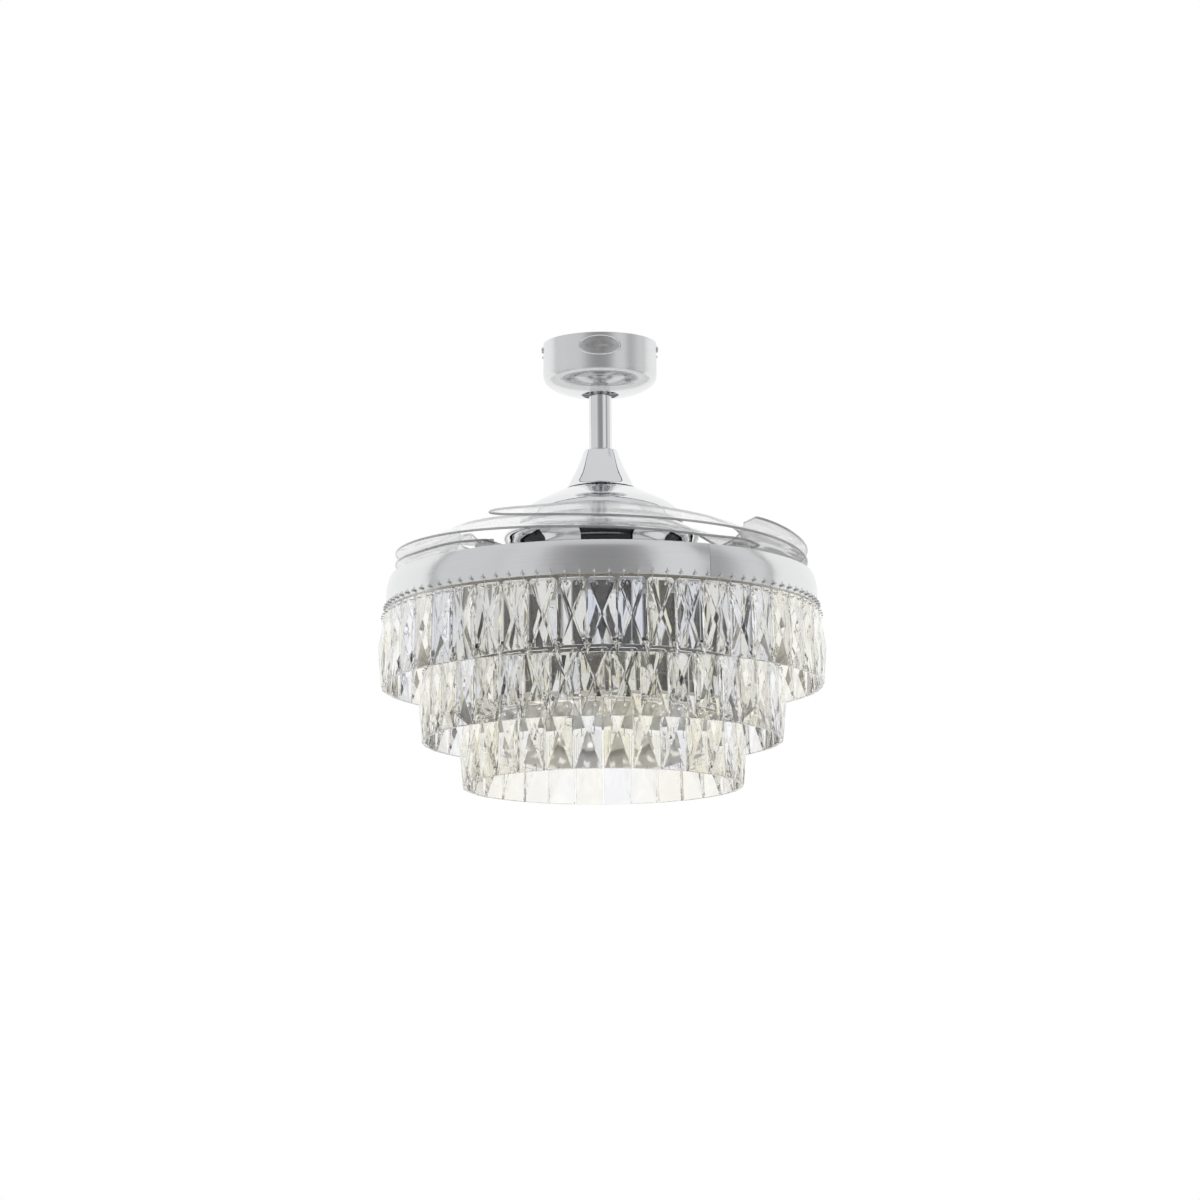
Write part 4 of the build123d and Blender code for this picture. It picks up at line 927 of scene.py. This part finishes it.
class FAN_OT_blades(bpy.types.Operator):
    """Four clear blades, formed sheet with round polished edges"""

    bl_idname = "fan.blades"
    bl_label = "Blades"

    def middle_sheet(self, sheet, sizes):
        """A net of the sheet's middle surface, with its outer loop and the loops of its holes."""
        outline, *holes = sheet.loops()
        half = sizes.thickness / 2
        rim = evenly(outline, sizes.edge_step)
        inset = []
        for back, here, ahead in trios(rim):
            along = (ahead - back).normalized()
            inset.append(here + Vector((-along.y, along.x)) * half)
        rings = [evenly(hole, sizes.hole_step) for hole in holes]
        spots, edges, places = [], [], []
        for loop in (inset, *rings):
            place = range(len(spots), len(spots) + len(loop))
            spots += loop
            edges += pairs(place)
            places.append(place)
        reach = max(spot.length for spot in inset)
        rows = math.ceil(2 * reach / sizes.face_step)
        clearance = 0.6 * sizes.face_step
        fixed = list(spots)
        for row in range(rows + 1):
            for column in range(rows + 1):
                stagger = 0.5 * (row % 2)
                spot = Vector((column + stagger, row)) * sizes.face_step - Vector((reach, reach))
                if spot.length > reach or not within(spot, inset):
                    continue
                if min((spot - other).length for other in fixed) > clearance:
                    spots.append(spot)
        verts, links, faces, from_verts, from_edges, from_faces = delaunay_2d_cdt(spots, edges, [], 1, 1e-7)
        new = {old: k for k, olds in enumerate(from_verts) for old in olds}
        loops = [[new[k] for k in place] for place in places]
        bm = bmesh.new()
        for spot in verts:
            bm.verts.new((spot.x, spot.y, sheet.middle(spot, sizes.thickness)))
        bm.verts.ensure_lookup_table()
        for face in faces:
            centre = sum((verts[k] for k in face), Vector((0, 0))) / len(face)
            if not any(within(centre, ring) for ring in rings):
                bm.faces.new([bm.verts[k] for k in face])
        smooth = [v for v in bm.verts if v.link_faces and not v.is_boundary]
        for _ in range(sizes.smoothing):
            bmesh.ops.smooth_vert(bm, verts=smooth, factor=0.5, use_axis_z=True)
        bmesh.ops.recalc_face_normals(bm, faces=bm.faces)
        bm.normal_update()
        if sum(face.normal.z for face in bm.faces) < 0:
            bmesh.ops.reverse_faces(bm, faces=bm.faces)
            bm.normal_update()
        return bm, loops

    def blank(self, node, sizes):
        """One blade where the CAD blade lies: both faces, the round rim and the bores."""
        net, loops = self.middle_sheet(CadSheet(node), sizes)
        net.verts.ensure_lookup_table()
        half = sizes.thickness / 2
        bm = bmesh.new()
        upper = [bm.verts.new(v.co + v.normal * half) for v in net.verts]
        lower = [bm.verts.new(v.co - v.normal * half) for v in net.verts]
        for face in net.faces:
            bm.faces.new([upper[v.index] for v in face.verts])
            bm.faces.new([lower[v.index] for v in reversed(face.verts)])
        rim, *bores = loops
        strips = [[upper[k] for k in rim]]
        for turn in range(1, sizes.rim_steps):
            angle = math.pi * (0.5 - turn / sizes.rim_steps)
            strip = []
            for back, here, ahead in trios(rim):
                along = net.verts[ahead].co - net.verts[back].co
                normal = net.verts[here].normal
                outward = along.cross(normal).normalized()
                reach = outward * math.cos(angle) + normal * math.sin(angle)
                strip.append(bm.verts.new(net.verts[here].co + reach * half))
            strips.append(strip)
        strips.append([lower[k] for k in rim])
        walls = list(zip(strips, strips[1:]))
        walls += [([upper[k] for k in bore], [lower[k] for k in bore]) for bore in bores]
        for first, second in walls:
            wall(bm, first, second, 1)
        net.free()
        loose = [v for v in bm.verts if not v.link_faces]
        bmesh.ops.delete(bm, geom=loose, context="VERTS")
        bmesh.ops.recalc_face_normals(bm, faces=bm.faces)
        blank = piece_from(bm, "clear_blade_blank", clear_acrylic(), 50)
        blank.data.materials.append(acrylic_edge())
        return blank

    def execute(self, context):
        """Make the first blade from its CAD solid and turn it to the other three places."""
        sizes = context.scene.fan_blades
        blank = self.blank("blade_1", sizes)
        for k in BLADES:
            blade = bpy.data.objects.new(f"clear_blade_{k}", blank.data.copy())
            blade.data.transform(Matrix.Rotation(-math.tau * (k - 1) / len(BLADES), 4, "Z"))
            context.scene.collection.objects.link(blade)
            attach(blade, f"blade_{k}")
            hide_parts(f"blade_{k}")
        bpy.data.objects.remove(blank)
        return {"FINISHED"}


class FAN_OT_crystals(bpy.types.Operator):
    """Cut crystals of the three tiers, hung round their rings"""

    bl_idname = "fan.crystals"
    bl_label = "Crystals"

    def blank(self, sizes):
        """One cut crystal that faces +X and hangs from its holes at the origin."""
        half_w, half_h = sizes.width / 2, sizes.height / 2
        clip = sizes.corner
        drill_sides, sharp_from = 10, math.radians(8)
        outline = [
            (-half_w, -half_h),
            (half_w, -half_h),
            (half_w, half_h - clip),
            (half_w - clip, half_h),
            (-half_w + clip, half_h),
            (-half_w, half_h - clip),
        ]
        bm = bmesh.new()
        rims = []
        for side in (-1, 1):
            rim = [bm.verts.new((side * sizes.edge_half, y, z)) for y, z in outline]
            apex = bm.verts.new((side * sizes.apex_half, 0, 0))
            for corner, beyond in pairs(rim):
                bm.faces.new((corner, beyond, apex))
            rims.append(rim)
        wall(bm, *rims)
        bmesh.ops.recalc_face_normals(bm, faces=bm.faces)
        crystal = piece_from(bm, "crystal_blank", None)
        bevel = crystal.modifiers.new("arris", "BEVEL")
        bevel.width = sizes.arris
        bevel.segments = 1
        bevel.limit_method = "ANGLE"
        bevel.angle_limit = sharp_from
        drills = bmesh.new()
        for side in (-1, 1):
            where = Matrix.Translation((0, side * (half_w - sizes.hole_inset), half_h - sizes.hole_drop))
            bmesh.ops.create_cone(
                drills,
                cap_ends=True,
                segments=drill_sides,
                radius1=sizes.hole_r,
                radius2=sizes.hole_r,
                depth=4 * sizes.apex_half,
                matrix=where @ Matrix.Rotation(math.pi / 2, 4, "Y"),
            )
        drill = piece_from(drills, "crystal_drill", None)
        holes = crystal.modifiers.new("holes", "BOOLEAN")
        holes.operation = "DIFFERENCE"
        holes.object = drill
        holes.solver = "EXACT"
        applied(crystal)
        bpy.data.objects.remove(drill)
        crystal.data.transform(Matrix.Translation((0, 0, sizes.hole_drop - half_h)))
        crystal.data.transform(Matrix.Rotation(-sizes.lean, 4, "Y"))
        return crystal

    def execute(self, context):
        """Hang one ring of crystals for each tier."""
        sizes = context.scene.fan_crystals
        glass = cut_crystal()
        tree = ring_tree()
        blank = self.blank(sizes)
        for tier, carrier, count in zip(TIERS, TIER_CARRIERS, TIER_COUNTS):
            node = f"crystals_tier_{tier}"
            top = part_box(node)[1].z
            hole_z = top - sizes.hole_drop * math.cos(sizes.lean) - sizes.edge_half * math.sin(sizes.lean)
            piece = blank.copy()
            piece.data = blank.data.copy()
            piece.name = f"cut_crystals_{tier}"
            context.scene.collection.objects.link(piece)
            tree.run(
                piece,
                Count=count,
                Radius=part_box(carrier)[1].x + sizes.hang_out,
                Height=hole_z,
                Twist=sizes.twist,
                Tilt=sizes.tilt,
                Seed=sizes.seed + tier,
                Finish=glass,
            )
            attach(piece, "hanging_part")
            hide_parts(node)
        bpy.data.objects.remove(blank)
        return {"FINISHED"}


class FAN_OT_pins(bpy.types.Operator):
    """Bent pins with polished beads, two to a crystal"""

    bl_idname = "fan.pins"
    bl_label = "Pins"

    def wire_line(self, sizes):
        """The wire's middle line in the (outward, height) plane, its bends rounded."""
        corners = [
            (sizes.spike_out, sizes.rise + sizes.spike),
            (sizes.spike_out, sizes.rise),
            (-sizes.leg_in, sizes.rise),
            (-sizes.leg_in, -sizes.drop),
            (sizes.reach, -sizes.drop),
        ]
        bulge = 0.04
        line = [Vector(corners[0])]
        for back, here, ahead in zip(corners, corners[1:], corners[2:]):
            back, here, ahead = Vector(back), Vector(here), Vector(ahead)
            first = here + (back - here).normalized() * sizes.bend
            last = here + (ahead - here).normalized() * sizes.bend
            line += [first, (first + last + 2 * here) / 4 + (first + last - 2 * here) * bulge, last]
        line.append(Vector(corners[-1]))
        return line

    def blank(self, sizes, ring_r):
        """One pin at the ring's +X side: pointed wire, ball and bead."""
        bm = bmesh.new()
        line = self.wire_line(sizes)
        wire_sides, tip_share = 6, 0.3
        hoops = []
        for place, spot in enumerate(line):
            ahead = line[min(place + 1, len(line) - 1)] - line[max(place - 1, 0)]
            side = Vector((ahead.y, -ahead.x)).normalized()
            wire_r = sizes.wire_r * (tip_share if place == 0 else 1.0)
            hoop = []
            for step in range(wire_sides):
                angle = math.tau * step / wire_sides
                reach = side * math.cos(angle) * wire_r
                outward = ring_r + spot.x + reach.x
                hoop.append(bm.verts.new((outward, math.sin(angle) * wire_r, spot.y + reach.y)))
            hoops.append(hoop)
        for first, second in zip(hoops, hoops[1:]):
            wall(bm, first, second)
        bm.faces.new(hoops[0])
        bm.faces.new(list(reversed(hoops[-1])))
        for across, height, size, around, rows in (
            (sizes.ball_out, sizes.rise, sizes.ball_r, 8, 6),
            (sizes.reach, -sizes.drop, sizes.bead_r, 6, 4),
        ):
            where = Matrix.Translation((ring_r + across, 0, height))
            bmesh.ops.create_uvsphere(bm, u_segments=around, v_segments=rows, radius=size, matrix=where)
        bmesh.ops.recalc_face_normals(bm, faces=bm.faces)
        return bm

    def execute(self, context):
        """Two rings of pins for each tier, joined in one piece."""
        sizes = context.scene.fan_pins
        crystal = context.scene.fan_crystals
        # darker chrome: painted shade for the dark reflections and shadow on the pins
        finish = polished_chrome("pin_chrome", (0.66, 0.66, 0.665), 0.02)
        tree = ring_tree()
        side = crystal.width / 2 - crystal.hole_inset
        for tier, carrier, count in zip(TIERS, TIER_CARRIERS, TIER_COUNTS):
            node = f"hanging_pins_tier_{tier}"
            ring_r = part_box(carrier)[1].x
            ring_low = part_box(carrier)[0].z
            pair = bmesh.new()
            for sign in (-1, 1):
                one = self.blank(sizes, ring_r)
                turn = Matrix.Rotation(sign * math.atan2(side, ring_r + crystal.hang_out), 4, "Z")
                bmesh.ops.transform(one, matrix=turn, verts=one.verts)
                mesh = bpy.data.meshes.new("pin_half")
                one.to_mesh(mesh)
                one.free()
                pair.from_mesh(mesh)
                bpy.data.meshes.remove(mesh)
            piece = piece_from(pair, f"crystal_pins_{tier}", None, 60)
            tree.run(piece, Count=count, Radius=0.0, Height=ring_low, Finish=finish)
            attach(piece, "hanging_part")
            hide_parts(node)
        return {"FINISHED"}


class FAN_OT_studio(bpy.types.Operator):
    """Pale floor, white backdrop, soft light and the camera"""

    bl_idname = "fan.studio"
    bl_label = "Studio"

    def world(self, backdrop):
        """White to the camera and behind; in front a grey room to metal and bright panes to glass."""
        world = bpy.data.worlds.new("studio_world")
        bpy.context.scene.world = world
        world.use_nodes = True
        w = Nodes(world.node_tree)
        way = w.make("ShaderNodeTexCoord", output=0)
        x, y, z = w.parts_of(way)
        round_share = x.join("ARCTAN2", y * -1.0) / math.tau + 0.5
        rise = z.join("ARCSINE")
        behind = y.clear_of(0.17, 0.19)
        white = rgb(1.0, 1.0, 1.0)
        stops = [(0.5 + aside / 360, rgb(tone, tone, tone * 1.01)) for aside, tone in ROOM_TONES]
        walls = w.make("ShaderNodeValToRGB", {"stops": stops}, {"Fac": round_share})
        front = w.blend(rise.clear_of(0.72, 0.86), walls, rgb(0.74, 0.745, 0.75))
        cove = w.blend(behind, front, white)
        cove_edge = y.near(0.20, 0.018, 0.032)
        floor_edge = rise.near(-0.355, 0.014, 0.026) * (1.0 - behind)
        with_lines = w.blend(cove_edge.join("MAXIMUM", floor_edge), cove, rgb(0.02, 0.02, 0.022))
        panes = w.make("ShaderNodeTexVoronoi", None, {"Vector": way, "Scale": 3.6}, output=1)
        specks = w.make("ShaderNodeTexVoronoi", None, {"Vector": way, "Scale": 15.0}, output=1)
        tones = w.make("ShaderNodeValToRGB", {"stops": PANE_TONES}, {"Fac": panes})
        sparkle = w.blend(specks.clear_of(0.75, 0.78) * 0.85, tones, rgb(0.20, 0.18, 0.13))
        far_round = (round_share - 0.5).size().clear_of(0.050, 0.062)
        far_up = rise.clear_of(0.42, 0.47) + (1.0 - rise.clear_of(-0.26, -0.20))
        dark = 1.0 - far_round.join("MAXIMUM", far_up)
        inner = w.blend(dark, sparkle, rgb(0.035, 0.032, 0.03))
        through = w.blend(behind, inner, white)
        path = w.add("ShaderNodeLightPath")
        camera_ray = Wire(w.tree, path.outputs["Is Camera Ray"])
        glass_ray = Wire(w.tree, path.outputs["Is Transmission Ray"])
        seen = w.blend(glass_ray, with_lines, through)
        lit = w.make("ShaderNodeBackground", None, {"Color": seen, "Strength": 1.0})
        plain = w.make("ShaderNodeBackground", None, {"Color": rgb(*backdrop), "Strength": 1.0})
        mixed = w.make("ShaderNodeMixShader", None, {0: camera_ray, 1: lit, 2: plain})
        w.add("ShaderNodeOutputWorld", None, {0: mixed})

    def execute(self, context):
        """Build the studio."""
        settings = context.scene.fan_studio
        scene = context.scene
        scene.view_settings.view_transform = "Standard"
        scene.cycles.max_bounces = 24
        scene.cycles.glossy_bounces = 12
        scene.cycles.transmission_bounces = 24
        self.world(settings.backdrop)
        floor_half = 6.0
        bm = bmesh.new()
        bmesh.ops.create_grid(bm, x_segments=1, y_segments=1, size=floor_half)
        bmesh.ops.translate(bm, vec=(0, 0, -settings.floor_drop), verts=bm.verts)
        floor_finish = Finish("studio_floor")
        tone = floor_finish.blend(floor_finish.noise(2.0, 2.0), rgb(0.90, 0.90, 0.90), rgb(0.93, 0.93, 0.93))
        floor = piece_from(bm, "studio_floor", floor_finish.surface(Base_Color=tone, Roughness=0.6))
        for name, where, side, power in LIGHTS:
            light = bpy.data.lights.new(f"studio_{name}", "AREA")
            light.shape = "SQUARE"
            light.size = side
            light.energy = power
            lamp = bpy.data.objects.new(f"studio_{name}", light)
            lamp.location = where
            lamp.rotation_euler = (Vector(LIGHTS_AIM) - Vector(where)).to_track_quat("-Z", "Y").to_euler()
            lamp.visible_glossy = False
            lamp.visible_transmission = False
            scene.collection.objects.link(lamp)
        view = bpy.data.cameras.new("photo_camera")
        view.lens = settings.lens
        view.sensor_width = 36.0
        camera = bpy.data.objects.new("photo_camera", view)
        spot = (settings.camera_side, -settings.camera_distance, -settings.camera_drop)
        level = Matrix.Rotation(math.pi / 2 + settings.camera_pitch, 4, "X")
        roll = Matrix.Rotation(settings.camera_roll, 4, "Z")
        camera.matrix_world = Matrix.Translation(spot) @ level @ roll
        scene.collection.objects.link(camera)
        scene.camera = camera
        return {"FINISHED"}


class FAN_PT_panel(bpy.types.Panel):
    """Sidebar panel with the fan's settings and steps"""

    bl_label = "Ceiling fan"
    bl_idname = "FAN_PT_panel"
    bl_space_type = "VIEW_3D"
    bl_region_type = "UI"
    bl_category = "Ceiling fan"

    def draw(self, context):
        """List the settings and the operators."""
        for place, kind in SETTINGS.items():
            box = self.layout.box()
            for name in kind.__annotations__:
                box.prop(getattr(context.scene, place), name)
        for step in STEPS:
            self.layout.operator(step.bl_idname)


SETTINGS = {
    "fan_badge": FanBadgeSettings,
    "fan_blades": FanBladeSettings,
    "fan_crystals": FanCrystalSettings,
    "fan_pins": FanPinSettings,
    "fan_studio": FanStudioSettings,
}
STEPS = (FAN_OT_metalwork, FAN_OT_badge, FAN_OT_blades, FAN_OT_crystals, FAN_OT_pins, FAN_OT_studio)
CLASSES = (*SETTINGS.values(), *STEPS, FAN_PT_panel)


def register():
    """Register the classes and hang the settings on the scene."""
    for part in CLASSES:
        bpy.utils.register_class(part)
    for place, kind in SETTINGS.items():
        setattr(bpy.types.Scene, place, bpy.props.PointerProperty(type=kind))


def unregister():
    """Take the settings and the classes away again."""
    for place in SETTINGS:
        delattr(bpy.types.Scene, place)
    for part in reversed(CLASSES):
        bpy.utils.unregister_class(part)


def main():
    """Build every piece in order."""
    register()
    for step in STEPS:
        group, name = step.bl_idname.split(".")
        getattr(getattr(bpy.ops, group), name)()


if __name__ == "__main__":
    main()
